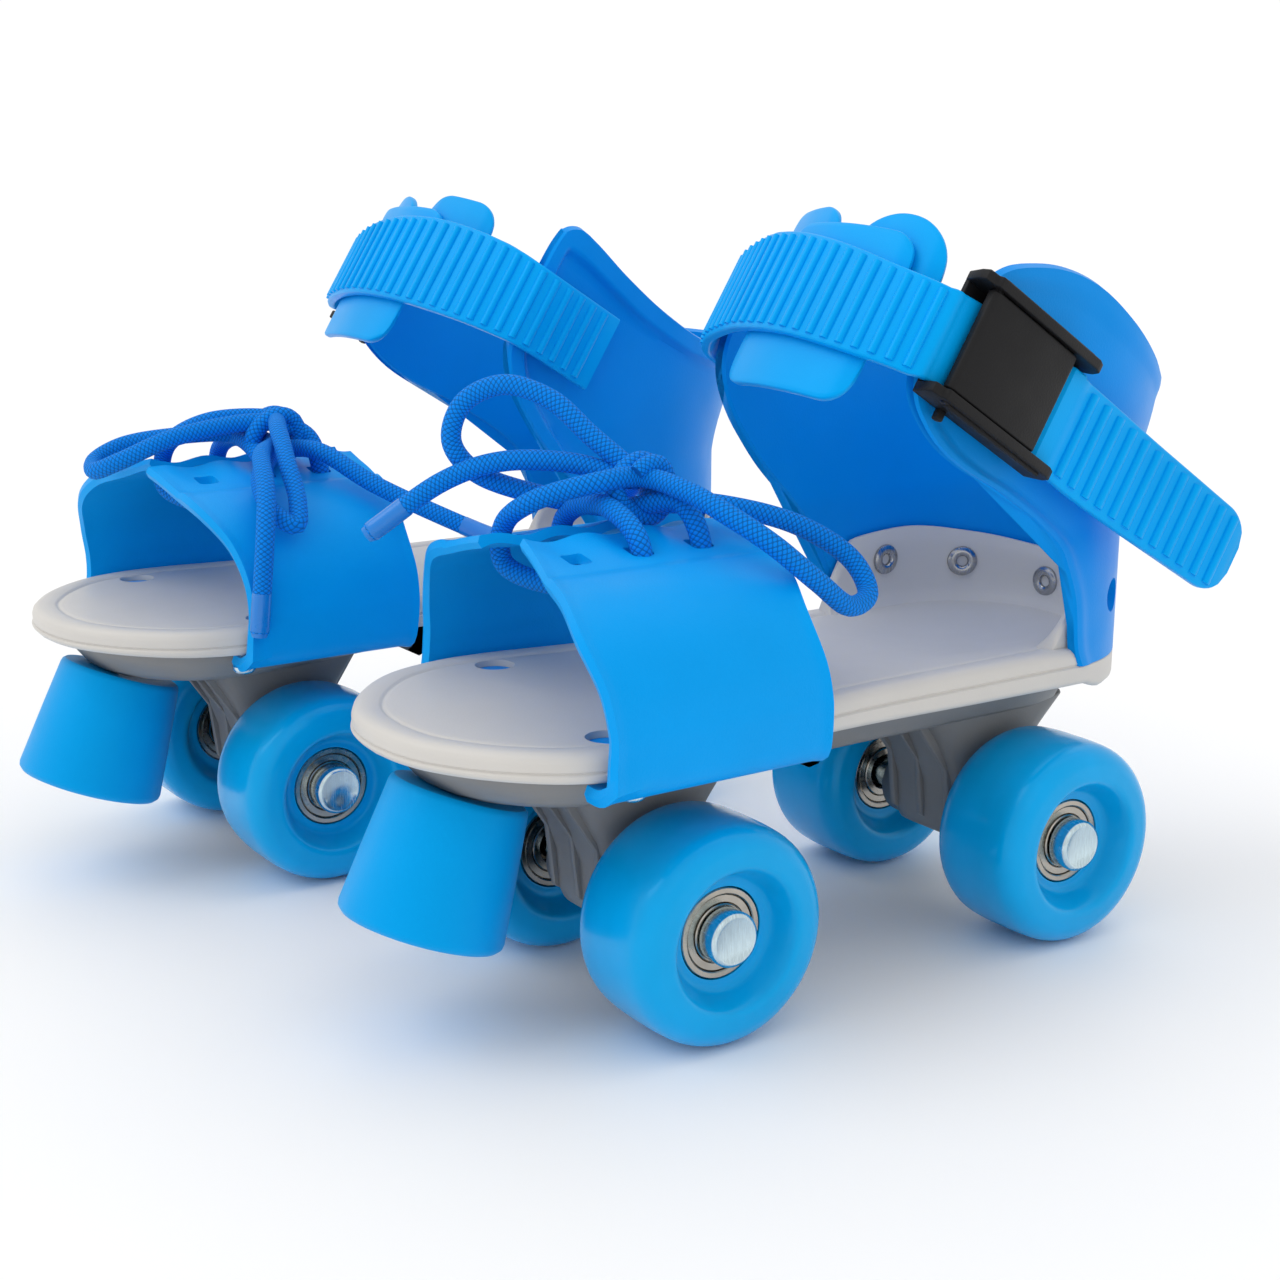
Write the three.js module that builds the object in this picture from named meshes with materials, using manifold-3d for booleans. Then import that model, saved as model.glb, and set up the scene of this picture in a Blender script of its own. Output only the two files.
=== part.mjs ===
// A pair of child's strap-on quad roller skates, in millimetres, +Z up, toes towards -Y.
// Each skate is built in its own frame: x = 0 on its middle plane with the buckle side at +x,
// y = 0 midway between the axles, z = 0 on the floor. The right skate is the left one mirrored.
import * as THREE from "three";
import { mergeVertices } from "three/addons/utils/BufferGeometryUtils.js";
import Module from "manifold-3d";

const wasm = await Module();
wasm.setup();

// ---------------------------------------------------------------- driving dimensions

const GAP = 0.4; // between pieces that touch or nearly touch
const RUNNING_GAP = 0.3; // radial, between an axle and what turns or sits on it

// Stance of the pair: the right skate's middle, seen from the left skate's middle.
const PAIR_SPACING = 148;
const PAIR_STAGGER = 27;

// Wheels, bearings and axles
const WHEELBASE = 112;
const WHEEL_RADIUS = 27;
const WHEEL_WIDTH = 30;
const WHEEL_TRACK = 71; // between the middles of the two wheels on one axle
const TREAD_SHOULDER = 5;
const DISH_RADIUS = 17.3;
const DISH_DEPTH = 7;
const BEARING_RADIUS = 11;
const BEARING_WIDTH = 6.6;
const SPACER_RADIUS = 6.5;
const AXLE_RADIUS = 4;
const AXLE_HEAD_RADIUS = 6.7;
const AXLE_HEAD_LENGTH = 5.4;

// Footplate
const SOLE_UNDERSIDE = 69;
const SOLE_STEP = 71.4; // top of the lower band of the sole's edge
const SOLE_TOP = 75.5;
const TOE_REACH = 121.5; // from the skate's middle to the tip of the toe
const BALL_HALF_WIDTH = 47;
const WAIST_HALF_WIDTH = 38.5;
const HEEL_CENTRE_Y = 61; // centre of the heel's round end
const HEEL_RADIUS = 38;
const HEEL_SKIRT_DROP = 5;
const HEEL_SKIRT_START = 72;
const TOE_HOLE_RADIUS = 5;
const HEEL_WALL_THICKNESS = 2.8;
const HEEL_WALL_HEIGHT = 97;

// Trucks: a tray under the sole and a hanger down to the axle
const TRAY_INSET = 9;
const TRAY_TAPER = 5;
const FRONT_TRAY_BOTTOM = 59;
const REAR_TRAY_BOTTOM = 57;
const FRONT_TRAY_END = -26;
const REAR_TRAY_START = -20;
const HANGER_TOP_GAP = 0.5; // between the hanger and the wheels' inner faces
const HANGER_FOOT_GAP = 6.5;
const HANGER_TOP_HALF = [(WHEEL_TRACK - WHEEL_WIDTH) / 2 - HANGER_TOP_GAP, 24];
const HANGER_FOOT_HALF = [(WHEEL_TRACK - WHEEL_WIDTH) / 2 - HANGER_FOOT_GAP, 11];
const HANGER_FOOT_DROP = 8; // below the axle's centre

// Toe stop: a rubber frustum on a bolt, leaning forwards
const STOP_LEAN = THREE.MathUtils.degToRad(20);
const STOP_TOP_RADIUS = 16.5;
const STOP_BOTTOM_RADIUS = 20;
const STOP_HEIGHT = 34;
const STOP_SET_BACK = 10.5; // of the middle of its bottom, behind the tip of the toe
const STOP_BOTTOM_Y = STOP_SET_BACK - TOE_REACH;
const STOP_BOTTOM_Z = 25.5;
const STOP_BOLT_RADIUS = 3.5;
const STOP_BOLT_LENGTH = 36;

// Toe strap: two bands that the lace draws together over the foot
const TOE_STRAP_THICKNESS = 2.6;
const TOE_STRAP_FRONT = -90;
const TOE_STRAP_WIDTH = 59;
const TOE_STRAP_CROWN = 114;
const LACING_HALF_GAP = 5;
const STRAP_STAND_OFF = 1;
const TAB_LENGTH = 8;
const SLOT_X = 16;
const SLOT_HALF = [3.8, 3.6];
const SLOT_PITCH = 17;
const STRAP_BOLT_RADIUS = 1.6;
const STRAP_BOLT_HEAD = 3.2;
const STRAP_BOLT_Y = -80;

// Heel shell
const SHELL_THICKNESS = 3;
const SHELL_BOTTOM = SOLE_STEP + GAP;
const SHELL_FLARE = 5.5; // how far each side leans out between the flare's start and the top
const FLARE_START = 108;
const SHELL_TOP = 182;
const SHELL_BACK_BULGE = 8;
const SHELL_HOLE_RADIUS = 4.5;
const SHELL_HOLE_ANGLE = THREE.MathUtils.degToRad(29); // round the heel, from the buckle side
const SHELL_HOLE_HEIGHT = 88;
const RIVET_RADIUS = 2;
const RIVET_HEAD_RADIUS = 4.4;

// Ankle strap, pads and buckle, in the cuff's own tilted frame (x, s back and down, n up)
const CUFF_TILT = THREE.MathUtils.degToRad(32);
const CUFF_HEIGHT = 150;
const STRAP_THICKNESS = 2.6;
const STRAP_WIDTH = 23;
const STRAP_LOW = 0.5;

const PAD_THICKNESS = 2.4;
const BUCKLE_LENGTH = 44;
const BUCKLE_FRONT = -3;
const RAIL_THICKNESS = 2.6;
const RAIL_HEIGHT = 10;
const RAIL_GAP = 1.6; // between the strap's edge and each rail
const BUCKLE_BASE = 1.5;
const BUCKLE_STAND_OFF = 1.1; // between the shell's widest place and the buckle
const STRAP_SIDE_X = // middle of the strap's thickness where it lies along the buckle
  HEEL_RADIUS + SHELL_FLARE + BUCKLE_STAND_OFF + BUCKLE_BASE + GAP + STRAP_THICKNESS / 2;
const LID_LENGTH = 33;
const LID_THICKNESS = 3.4;
const PIN_RADIUS = 1.2;
const PIN_S = BUCKLE_FRONT + 4.2;

// Lace
const LACE_RADIUS = 2.5;
const LACE_SIDES = 8;

// ---------------------------------------------------------------- materials

const finish = (color, roughness, metalness = 0) =>
  new THREE.MeshStandardMaterial({ color, roughness, metalness });
const FINISHES = {
  blue_plastic: finish(0x0a8ff0, 0.45),
  wheel_blue: finish(0x009fe3, 0.18),
  stop_rubber: finish(0x0699e8, 0.55),
  sole_grey: finish(0xc9c9c9, 0.5),
  chassis_grey: finish(0x6d6f73, 0.5),
  black_plastic: finish(0x1b1b1c, 0.4),
  lace_blue: finish(0x1b6fe0, 0.85),
  zinc: finish(0xc8d4d6, 0.25, 1),
  steel: finish(0x8d8f92, 0.3, 1),
};

// ---------------------------------------------------------------- solids

// A geometry as a manifold solid, with only its places kept.
function solid(geometry) {
  const bare = geometry.clone();
  bare.deleteAttribute("normal");
  bare.deleteAttribute("uv");
  const merged = mergeVertices(bare, 1e-4);
  return new wasm.Manifold(
    new wasm.Mesh({
      numProp: 3,
      vertProperties: new Float32Array(merged.attributes.position.array),
      triVerts: new Uint32Array(merged.index.array),
    }),
  );
}

// A manifold solid as a geometry for a mesh.
function geometryOf(body) {
  const mesh = body.getMesh();
  const places = new Float32Array(mesh.numVert * 3);
  for (let i = 0; i < mesh.numVert; i++)
    places.set(mesh.vertProperties.subarray(i * mesh.numProp, i * mesh.numProp + 3), i * 3);
  const geometry = new THREE.BufferGeometry();
  geometry.setAttribute("position", new THREE.BufferAttribute(places, 3));
  geometry.setIndex(new THREE.BufferAttribute(mesh.triVerts, 1));
  return geometry;
}

const cut = (body, ...tools) => tools.reduce((left, tool) => left.subtract(tool), body);
const join = (body, ...others) => others.reduce((whole, other) => whole.add(other), body);

// A flat outline of [u, v] points as a shape.
const shapeOf = (points) => new THREE.Shape(points.map(([u, v]) => new THREE.Vector2(u, v)));

// A prism over an outline in plan, from one height to another.
function prismZ(points, low, high) {
  const options = { depth: high - low, bevelEnabled: false };
  return solid(new THREE.ExtrudeGeometry(shapeOf(points), options).translate(0, 0, low));
}

// A prism over an outline of [y, z] points, between two places along x.
function prismX(points, from, to) {
  const options = { depth: to - from, bevelEnabled: false };
  const geometry = new THREE.ExtrudeGeometry(shapeOf(points), options);
  geometry.rotateX(Math.PI / 2).rotateZ(Math.PI / 2);
  return solid(geometry.translate(from, 0, 0));
}

// A prism over an outline of [x, z] points, between two places along y.
function prismY(points, from, to) {
  const options = { depth: to - from, bevelEnabled: false };
  const geometry = new THREE.ExtrudeGeometry(shapeOf(points), options);
  return solid(geometry.rotateX(Math.PI / 2).translate(0, to, 0));
}

function box(low, high) {
  const size = high.map((value, i) => value - low[i]);
  const middle = high.map((value, i) => (value + low[i]) / 2);
  return solid(new THREE.BoxGeometry(...size).translate(...middle));
}

// A cylinder of given radius between two points.
function rod(from, to, radius, sides = 16) {
  const start = new THREE.Vector3(...from);
  const along = new THREE.Vector3(...to).sub(start);
  const geometry = new THREE.CylinderGeometry(radius, radius, along.length(), sides);
  const turn = new THREE.Quaternion().setFromUnitVectors(
    new THREE.Vector3(0, 1, 0),
    along.clone().normalize(),
  );
  const middle = start.addScaledVector(along, 0.5);
  return solid(geometry.applyQuaternion(turn).translate(middle.x, middle.y, middle.z));
}

// A body turned about the x axis from a profile of [distance from axis, place along x] points.
function turned(profile, sides) {
  const points = profile.map(([r, x]) => new THREE.Vector2(r, x));
  return solid(new THREE.LatheGeometry(points, sides).rotateZ(-Math.PI / 2));
}

// A closed body skinned over rings of equally many points, with flat ends.
function lofted(rings) {
  const count = rings[0].length;
  const places = rings.flat(2);
  const faces = [];
  for (let r = 0; r + 1 < rings.length; r++) {
    for (let i = 0; i < count; i++) {
      const a = r * count + i;
      const b = r * count + ((i + 1) % count);
      faces.push(a, b, b + count, a, b + count, a + count);
    }
  }
  const last = (rings.length - 1) * count;
  for (let i = 1; i + 1 < count; i++) {
    faces.push(0, i + 1, i);
    faces.push(last, last + i, last + i + 1);
  }
  const geometry = new THREE.BufferGeometry();
  geometry.setAttribute("position", new THREE.Float32BufferAttribute(places, 3));
  geometry.setIndex(faces);
  return solid(geometry);
}

// The outline of a strip of even thickness along an open path of [u, v] points.
function stripOutline(path, thickness) {
  const side = (sign) =>
    path.map(([u, v], i) => {
      const [u0, v0] = path[Math.max(i - 1, 0)];
      const [u1, v1] = path[Math.min(i + 1, path.length - 1)];
      const length = Math.hypot(u1 - u0, v1 - v0);
      const shift = (sign * thickness) / 2 / length;
      return [u - (v1 - v0) * shift, v + (u1 - u0) * shift];
    });
  return [...side(1), ...side(-1).reverse()];
}

// Evenly spaced points on a smooth curve through [u, v] points.
function smooth(points, steps) {
  const curve = new THREE.SplineCurve(points.map(([u, v]) => new THREE.Vector2(u, v)));
  return curve.getSpacedPoints(steps).map((point) => [point.x, point.y]);
}

// ---------------------------------------------------------------- wheels and axles

const wheelOuterHalf = WHEEL_WIDTH / 2;
const bearingOuter = wheelOuterHalf - DISH_DEPTH;

// A wheel about x, with a conical dish and a stepped bearing seat on each side.
function wheelSolid() {
  const rim = [];
  const shoulderSteps = 3;
  for (const sign of [-1, 1]) {
    for (let i = 0; i <= shoulderSteps; i++) {
      const share = sign < 0 ? i : shoulderSteps - i;
      const angle = (share / shoulderSteps) * (Math.PI / 2);
      const across = wheelOuterHalf - TREAD_SHOULDER * (1 - Math.cos(angle));
      rim.push([WHEEL_RADIUS - TREAD_SHOULDER * (1 - Math.sin(angle)), sign * across]);
    }
  }
  const seat = BEARING_RADIUS + GAP;
  const profile = [
    [seat, -bearingOuter],
    [DISH_RADIUS - 2, -bearingOuter - 0.6],
    [DISH_RADIUS, -wheelOuterHalf],
    ...rim,
    [DISH_RADIUS, wheelOuterHalf],
    [DISH_RADIUS - 2, bearingOuter + 0.6],
    [seat, bearingOuter],
  ];
  return turned([...profile, profile[0]], 26);
}

// Two ball bearings joined by the sleeve that spaces them.
function bearingSolid() {
  const bore = AXLE_RADIUS + RUNNING_GAP;
  const inner = bearingOuter - BEARING_WIDTH;
  const profile = [
    [bore, -bearingOuter],
    [BEARING_RADIUS, -bearingOuter],
    [BEARING_RADIUS, -inner],
    [SPACER_RADIUS, -inner],
    [SPACER_RADIUS, inner],
    [BEARING_RADIUS, inner],
    [BEARING_RADIUS, bearingOuter],
    [bore, bearingOuter],
  ];
  return turned([...profile, profile[0]], 18);
}

// An axle: a rod through both wheels with a round head pressed on each end.
function axleSolid() {
  const headStart = WHEEL_TRACK / 2 + bearingOuter + GAP;
  const end = headStart + AXLE_HEAD_LENGTH;
  const bevel = 0.7;
  const half = [
    [AXLE_RADIUS, headStart],
    [AXLE_HEAD_RADIUS, headStart],
    [AXLE_HEAD_RADIUS, end - bevel],
    [AXLE_HEAD_RADIUS - bevel, end],
    [0, end],
  ];
  const mirrored = half.map(([r, x]) => [r, -x]).reverse();
  return turned([...mirrored, ...half], 16);
}

// ---------------------------------------------------------------- footplate

// The sole's outline, drawn in by an inset. It runs anticlockwise from the toe tip.
function soleOutline(inset = 0, heelInset = inset) {
  const ball = BALL_HALF_WIDTH - inset;
  const tip = -TOE_REACH + inset;
  const side = smooth(
    [
      [0, tip],
      [0.2 * ball, tip + 0.9],
      [0.4 * ball, tip + 3.8],
      [0.68 * ball, tip + 12.5],
      [0.9 * ball, tip + 25],
      [0.99 * ball, tip + 38],
      [ball, tip + 53],
      [0.93 * ball, tip + 74],
      [WAIST_HALF_WIDTH + 1.5 - inset, -26],
      [WAIST_HALF_WIDTH - inset, -6],
      [(WAIST_HALF_WIDTH + HEEL_RADIUS) / 2 - heelInset, 28],
      [HEEL_RADIUS - heelInset, HEEL_CENTRE_Y],
    ],
    26,
  );
  const heel = [];
  const heelSteps = 9;
  for (let i = 1; i <= heelSteps; i++) {
    const angle = (i / heelSteps) * (Math.PI / 2);
    const radius = HEEL_RADIUS - heelInset;
    heel.push([radius * Math.cos(angle), HEEL_CENTRE_Y + radius * Math.sin(angle)]);
  }
  const right = [...side, ...heel];
  const left = right.slice(1, -1).reverse().map(([x, y]) => [-x, y]);
  return [...right, ...left];
}

const shellInner = HEEL_RADIUS - SHELL_THICKNESS;
const wallOuter = shellInner - GAP;
const wallInner = wallOuter - HEEL_WALL_THICKNESS;

// The U-shaped outline of the heel end in plan, open towards the toe.
function heelOutline(radius, openY, bulge = 0) {
  const points = [[radius, openY]];
  const steps = 18;
  for (let i = 0; i <= steps; i++) {
    const angle = (i / steps) * Math.PI;
    const y = HEEL_CENTRE_Y + (radius + bulge) * Math.sin(angle);
    points.push([radius * Math.cos(angle), y]);
  }
  points.push([-radius, openY]);
  return points;
}

// The grey wall that rises round the heel: high on the inner side, low towards the buckle side.
function heelWallSolid() {
  const open = 20;
  const wall = cut(
    prismZ(heelOutline(wallOuter, open), SOLE_STEP - 1, HEEL_WALL_HEIGHT),
    prismZ(heelOutline(wallInner, open - 5), SOLE_STEP - 2, HEEL_WALL_HEIGHT + 1),
  );
  const base = SOLE_STEP - 1;
  const back = HEEL_CENTRE_Y + HEEL_RADIUS + 1;
  const top = HEEL_WALL_HEIGHT;
  const innerSide = prismX(
    [
      [30, base],
      [back, base],
      [back, top - 5.5],
      [84, top - 3],
      [66, top],
      [50, top],
      [42, top - 5],
      [36, top - 16],
    ],
    -HEEL_RADIUS,
    0.5,
  );
  const outerSide = prismX(
    [
      [56, base],
      [back, base],
      [back, top - 5.5],
      [78, top - 6],
      [66, top - 7],
      [60, top - 12],
    ],
    -0.5,
    HEEL_RADIUS,
  );
  return wall.intersect(join(innerSide, outerSide));
}

// Where each heel rivet goes: [angle round the heel from the inner side, height], and one on the flat.
const HEEL_RIVETS = [
  { name: "heel_rivet_side", angle: 0, along: -4, z: 89 },
  { name: "heel_rivet_corner", angle: 38, along: 0, z: 87 },
  { name: "heel_rivet_back", angle: 84, along: 0, z: 83.5 },
];

// A point at a distance from the heel's centre line, on a rivet's axis.
function onRivet(rivet, distance) {
  const angle = THREE.MathUtils.degToRad(rivet.angle);
  const x = -distance * Math.cos(angle);
  const y = HEEL_CENTRE_Y + rivet.along + distance * Math.sin(angle);
  return [x, y, rivet.z];
}

function rivetSolid(rivet) {
  const grip = GAP / 2;
  return join(
    rod(onRivet(rivet, wallInner - 1), onRivet(rivet, HEEL_RADIUS + 1), RIVET_RADIUS, 12),
    rod(onRivet(rivet, wallInner - 1.6), onRivet(rivet, wallInner - grip - 0.5), RIVET_HEAD_RADIUS, 12),
    rod(onRivet(rivet, HEEL_RADIUS + grip + 0.5), onRivet(rivet, HEEL_RADIUS + 1.6), RIVET_HEAD_RADIUS, 12),
  );
}

const rivetHole = (rivet) =>
  rod(onRivet(rivet, wallInner - 3), onRivet(rivet, HEEL_RADIUS + 4), RIVET_RADIUS + RUNNING_GAP, 12);

const strapBoltX = BALL_HALF_WIDTH - 4.5;

function footplateSolid() {
  const lowerBand = prismZ(soleOutline(), SOLE_UNDERSIDE, SOLE_STEP);
  const upper = prismZ(soleOutline(0.8, HEEL_RADIUS - wallOuter), SOLE_STEP - 0.5, SOLE_TOP);
  const heelSkirt = prismZ(soleOutline(), SOLE_UNDERSIDE - HEEL_SKIRT_DROP, SOLE_UNDERSIDE + 0.5);
  const skirtOnly = box(
    [-HEEL_RADIUS - 1, HEEL_SKIRT_START, 0],
    [HEEL_RADIUS + 1, HEEL_CENTRE_Y + HEEL_RADIUS + 1, SOLE_TOP],
  );
  const hole = (x, y) => rod([x, y, 60], [x, y, 90], TOE_HOLE_RADIUS, 16);
  const boltHole = (x) => rod([x, STRAP_BOLT_Y, 60], [x, STRAP_BOLT_Y, 90], STRAP_BOLT_RADIUS + RUNNING_GAP, 10);
  return cut(
    join(lowerBand, upper, heelSkirt.intersect(skirtOnly), heelWallSolid()),
    hole(-34, -70),
    hole(34, -81),
    boltHole(strapBoltX),
    boltHole(-strapBoltX),
    ...HEEL_RIVETS.map(rivetHole),
  );
}

// ---------------------------------------------------------------- toe stop and trucks

const stopAxis = [0, -Math.sin(STOP_LEAN), -Math.cos(STOP_LEAN)];
// A point on the toe stop's axis, a distance above the middle of its bottom face.
const onStop = (height) => [
  0,
  STOP_BOTTOM_Y - stopAxis[1] * height,
  STOP_BOTTOM_Z - stopAxis[2] * height,
];

// The toe stop's frustum, grown by a clearance.
function stopFrustum(grow = 0, extra = 0) {
  const profile = [
    [0, -grow],
    [STOP_BOTTOM_RADIUS - 1.5 + grow, -grow],
    [STOP_BOTTOM_RADIUS + grow, 1.5],
    [STOP_TOP_RADIUS + grow, STOP_HEIGHT + grow + extra],
    [0, STOP_HEIGHT + grow + extra],
  ];
  const points = profile.map(([r, h]) => new THREE.Vector2(r, h));
  const geometry = new THREE.LatheGeometry(points, 24);
  geometry.rotateX(Math.PI / 2 - STOP_LEAN);
  return solid(geometry.translate(0, STOP_BOTTOM_Y, STOP_BOTTOM_Z));
}

const boltStart = STOP_HEIGHT - 22;
const boltEnd = boltStart + STOP_BOLT_LENGTH;
const stopBoltSpace = () =>
  rod(onStop(boltStart - GAP), onStop(boltEnd + GAP), STOP_BOLT_RADIUS + RUNNING_GAP, 12);

// The bolt stops short of the sole's top, where the foot rests.
function stopBoltSolid() {
  return rod(onStop(boltStart), onStop(boltEnd), STOP_BOLT_RADIUS, 12).intersect(
    box([-20, -TOE_REACH, 0], [20, 0, SOLE_UNDERSIDE - GAP]),
  );
}

// A rectangle in plan as four corners at one height.
const rectangle = (middleY, [halfX, halfY], z) => [
  [-halfX, middleY - halfY, z],
  [halfX, middleY - halfY, z],
  [halfX, middleY + halfY, z],
  [-halfX, middleY + halfY, z],
];

// A tapered tray under the sole between two places along y.
function traySolid(startY, endY, bottom) {
  const top = SOLE_UNDERSIDE - GAP;
  const ring = (inset, z) => soleOutline(inset).map(([x, y]) => [x, y, z]);
  const whole = lofted([ring(TRAY_INSET + TRAY_TAPER, bottom), ring(TRAY_INSET, top)]);
  const reach = BALL_HALF_WIDTH + 1;
  return whole.intersect(box([-reach, startY, 0], [reach, endY, top + 1]));
}

// The hanger: a tapered block from the tray down past the axle.
function hangerSolid(axleY, trayBottom) {
  return lofted([
    rectangle(axleY, HANGER_FOOT_HALF, WHEEL_RADIUS - HANGER_FOOT_DROP),
    rectangle(axleY, HANGER_FOOT_HALF, WHEEL_RADIUS + AXLE_RADIUS + 2),
    rectangle(axleY, HANGER_TOP_HALF, trayBottom + 1.5),
  ]);
}

const axleBore = (y) =>
  rod([-WHEEL_TRACK, y, WHEEL_RADIUS], [WHEEL_TRACK, y, WHEEL_RADIUS], AXLE_RADIUS + RUNNING_GAP, 16);

function frontTruckSolid() {
  const y = -WHEELBASE / 2;
  return cut(
    join(traySolid(-TOE_REACH, FRONT_TRAY_END, FRONT_TRAY_BOTTOM), hangerSolid(y, FRONT_TRAY_BOTTOM)),
    axleBore(y),
    stopFrustum(GAP),
    stopBoltSpace(),
  );
}

function rearTruckSolid() {
  const y = WHEELBASE / 2;
  const end = HEEL_SKIRT_START - GAP;
  return cut(
    join(traySolid(REAR_TRAY_START, end, REAR_TRAY_BOTTOM), hangerSolid(y, REAR_TRAY_BOTTOM)),
    axleBore(y),
    box([-30, end, 0], [30, end + 40, SOLE_TOP]),
  );
}

// ---------------------------------------------------------------- toe strap

const tabTop = SOLE_UNDERSIDE - GAP;
const slotRow = [-1, 0, 1].map((i) => TOE_STRAP_FRONT + TOE_STRAP_WIDTH / 2 + i * SLOT_PITCH);

// The band's middle line in [x, z], from the tab under the sole up to the lacing edge.
function toeStrapPath() {
  const t = TOE_STRAP_THICKNESS;
  const side = BALL_HALF_WIDTH + STRAP_STAND_OFF + t / 2;
  return [
    [side - TAB_LENGTH, tabTop - t / 2],
    [side - 3, tabTop - t / 2],
    [side - 0.8, tabTop - 0.2],
    [side, tabTop + 4],
    ...smooth(
      [
        [side + 0.4, 80],
        [side - 1, 90],
        [side - 6, 99],
        [side - 15, 106],
        [side - 28, TOE_STRAP_CROWN - 4],
        [LACING_HALF_GAP + 5, TOE_STRAP_CROWN - 1.2],
        [LACING_HALF_GAP, TOE_STRAP_CROWN],
      ],
      12,
    ),
  ];
}

function toeStrapSolid(sign) {
  const outline = stripOutline(toeStrapPath(), TOE_STRAP_THICKNESS);
  const placed = sign > 0 ? outline : outline.map(([x, z]) => [-x, z]).reverse();
  const [halfX, halfY] = SLOT_HALF;
  const slots = slotRow.map((y) =>
    box([sign * SLOT_X - halfX, y - halfY, 95], [sign * SLOT_X + halfX, y + halfY, 125]),
  );
  const boltHole = rod(
    [sign * strapBoltX, STRAP_BOLT_Y, 60],
    [sign * strapBoltX, STRAP_BOLT_Y, 75],
    STRAP_BOLT_RADIUS + RUNNING_GAP,
    10,
  );
  return cut(
    prismY(placed, TOE_STRAP_FRONT, TOE_STRAP_FRONT + TOE_STRAP_WIDTH),
    ...slots,
    boltHole,
  );
}

// The bolt that holds a band's tab to the sole.
function strapBoltSolid(sign) {
  const x = sign * strapBoltX;
  const seat = tabTop - TOE_STRAP_THICKNESS - GAP;
  return join(
    rod([x, STRAP_BOLT_Y, seat - 1], [x, STRAP_BOLT_Y, SOLE_TOP - 2], STRAP_BOLT_RADIUS, 10),
    rod([x, STRAP_BOLT_Y, seat - 2.6], [x, STRAP_BOLT_Y, seat], STRAP_BOLT_HEAD, 10),
  );
}

// ---------------------------------------------------------------- heel shell

// Half the shell's width outside, at a height.
function shellHalfWidth(z) {
  const share = THREE.MathUtils.clamp((z - FLARE_START) / (SHELL_TOP - FLARE_START), 0, 1);
  return HEEL_RADIUS + SHELL_FLARE * Math.sin((share * Math.PI) / 2);
}

// How far the shell's back stands out past a round end, at a height.
const shellBulge = (z) => SHELL_BACK_BULGE * THREE.MathUtils.smoothstep(z, FLARE_START, FLARE_START + 32);

function heelShellSolid() {
  const open = -30;
  const heights = [SHELL_BOTTOM, FLARE_START, 120, 132, 145, 160, SHELL_TOP];
  const ring = (grow, y, z) =>
    heelOutline(shellHalfWidth(z) + grow, y, shellBulge(z)).map(([x, py]) => [x, py, z]);
  const outside = lofted(heights.map((z) => ring(0, open, z)));
  const spread = (z, i) => z + (i === 0 ? -1 : i === heights.length - 1 ? 1 : 0);
  const inside = lofted(
    heights.map((z, i) => ring(-SHELL_THICKNESS, open - 5, z).map(([x, y]) => [x, y, spread(z, i)])),
  );
  const far = HEEL_CENTRE_Y + HEEL_RADIUS + SHELL_BACK_BULGE + 6;
  const reach = HEEL_RADIUS + SHELL_FLARE + 2;
  const backTop = 142;
  const innerProfile = [
    [46, SHELL_BOTTOM],
    [far, SHELL_BOTTOM],
    [far, backTop],
    [86, backTop],
    [73, 145],
    [60, 151.5],
    [44, 163],
    [32, 174],
    [27, 178.5],
    [22, 179],
    [18, 173],
    [12, 162],
    [6.5, 152],
    [5, 146],
    [7.5, 132],
    [17, 118],
    [31, 103],
    [42, 86],
  ];
  const outerProfile = [
    [62, SHELL_BOTTOM],
    [far, SHELL_BOTTOM],
    [far, backTop],
    [94, backTop + 2],
    [84, 151],
    [70, 161],
    [56, 170],
    [44, 174],
    [32, 175],
    [20, 172],
    [9, 163],
    [3, 152],
    [4, 140],
    [12, 131],
    [32, 120],
    [53, 105],
    [61, 90],
  ];
  const sides = join(prismX(innerProfile, -reach, 0.5), prismX(outerProfile, -0.5, reach));
  const holeAt = (distance) => [
    distance * Math.cos(SHELL_HOLE_ANGLE),
    HEEL_CENTRE_Y + distance * Math.sin(SHELL_HOLE_ANGLE),
    SHELL_HOLE_HEIGHT,
  ];
  return cut(
    cut(outside, inside).intersect(sides),
    rod(holeAt(HEEL_RADIUS - 6), holeAt(HEEL_RADIUS + 4), SHELL_HOLE_RADIUS, 14),
    ...HEEL_RIVETS.map(rivetHole),
  );
}

// ---------------------------------------------------------------- ankle strap, pads and buckle

// The strap's middle line in the cuff's [x, s]: from the inner wall, round the front, through the
// buckle and out to the tail.
const STRAP_PATH = smooth(
  [
    [-STRAP_SIDE_X + 0.4, 31],
    [-STRAP_SIDE_X + 0.4, 18],
    [-STRAP_SIDE_X + 0.8, 9],
    [-STRAP_SIDE_X + 2.6, 3.5],
    [-STRAP_SIDE_X + 7.3, -1],
    [-0.71 * STRAP_SIDE_X, -5.8],
    [-0.46 * STRAP_SIDE_X, -11.5],
    [-0.21 * STRAP_SIDE_X, -16],
    [0.06 * STRAP_SIDE_X, -18.4],
    [0.29 * STRAP_SIDE_X, -18.6],
    [0.52 * STRAP_SIDE_X, -17],
    [0.72 * STRAP_SIDE_X, -14.2],
    [STRAP_SIDE_X - 5.8, -10.8],
    [STRAP_SIDE_X - 1, -7],
    [STRAP_SIDE_X, -2],
    [STRAP_SIDE_X, 4],
    [STRAP_SIDE_X, 25],
    [STRAP_SIDE_X, 46],
    [STRAP_SIDE_X + 1.5, 70],
    [STRAP_SIDE_X + 4, 94],
    [STRAP_SIDE_X + 6, 112],
  ],
  60,
);

function ankleStrapSolid() {
  return prismZ(stripOutline(STRAP_PATH, STRAP_THICKNESS), STRAP_LOW, STRAP_LOW + STRAP_WIDTH);
}

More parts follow.
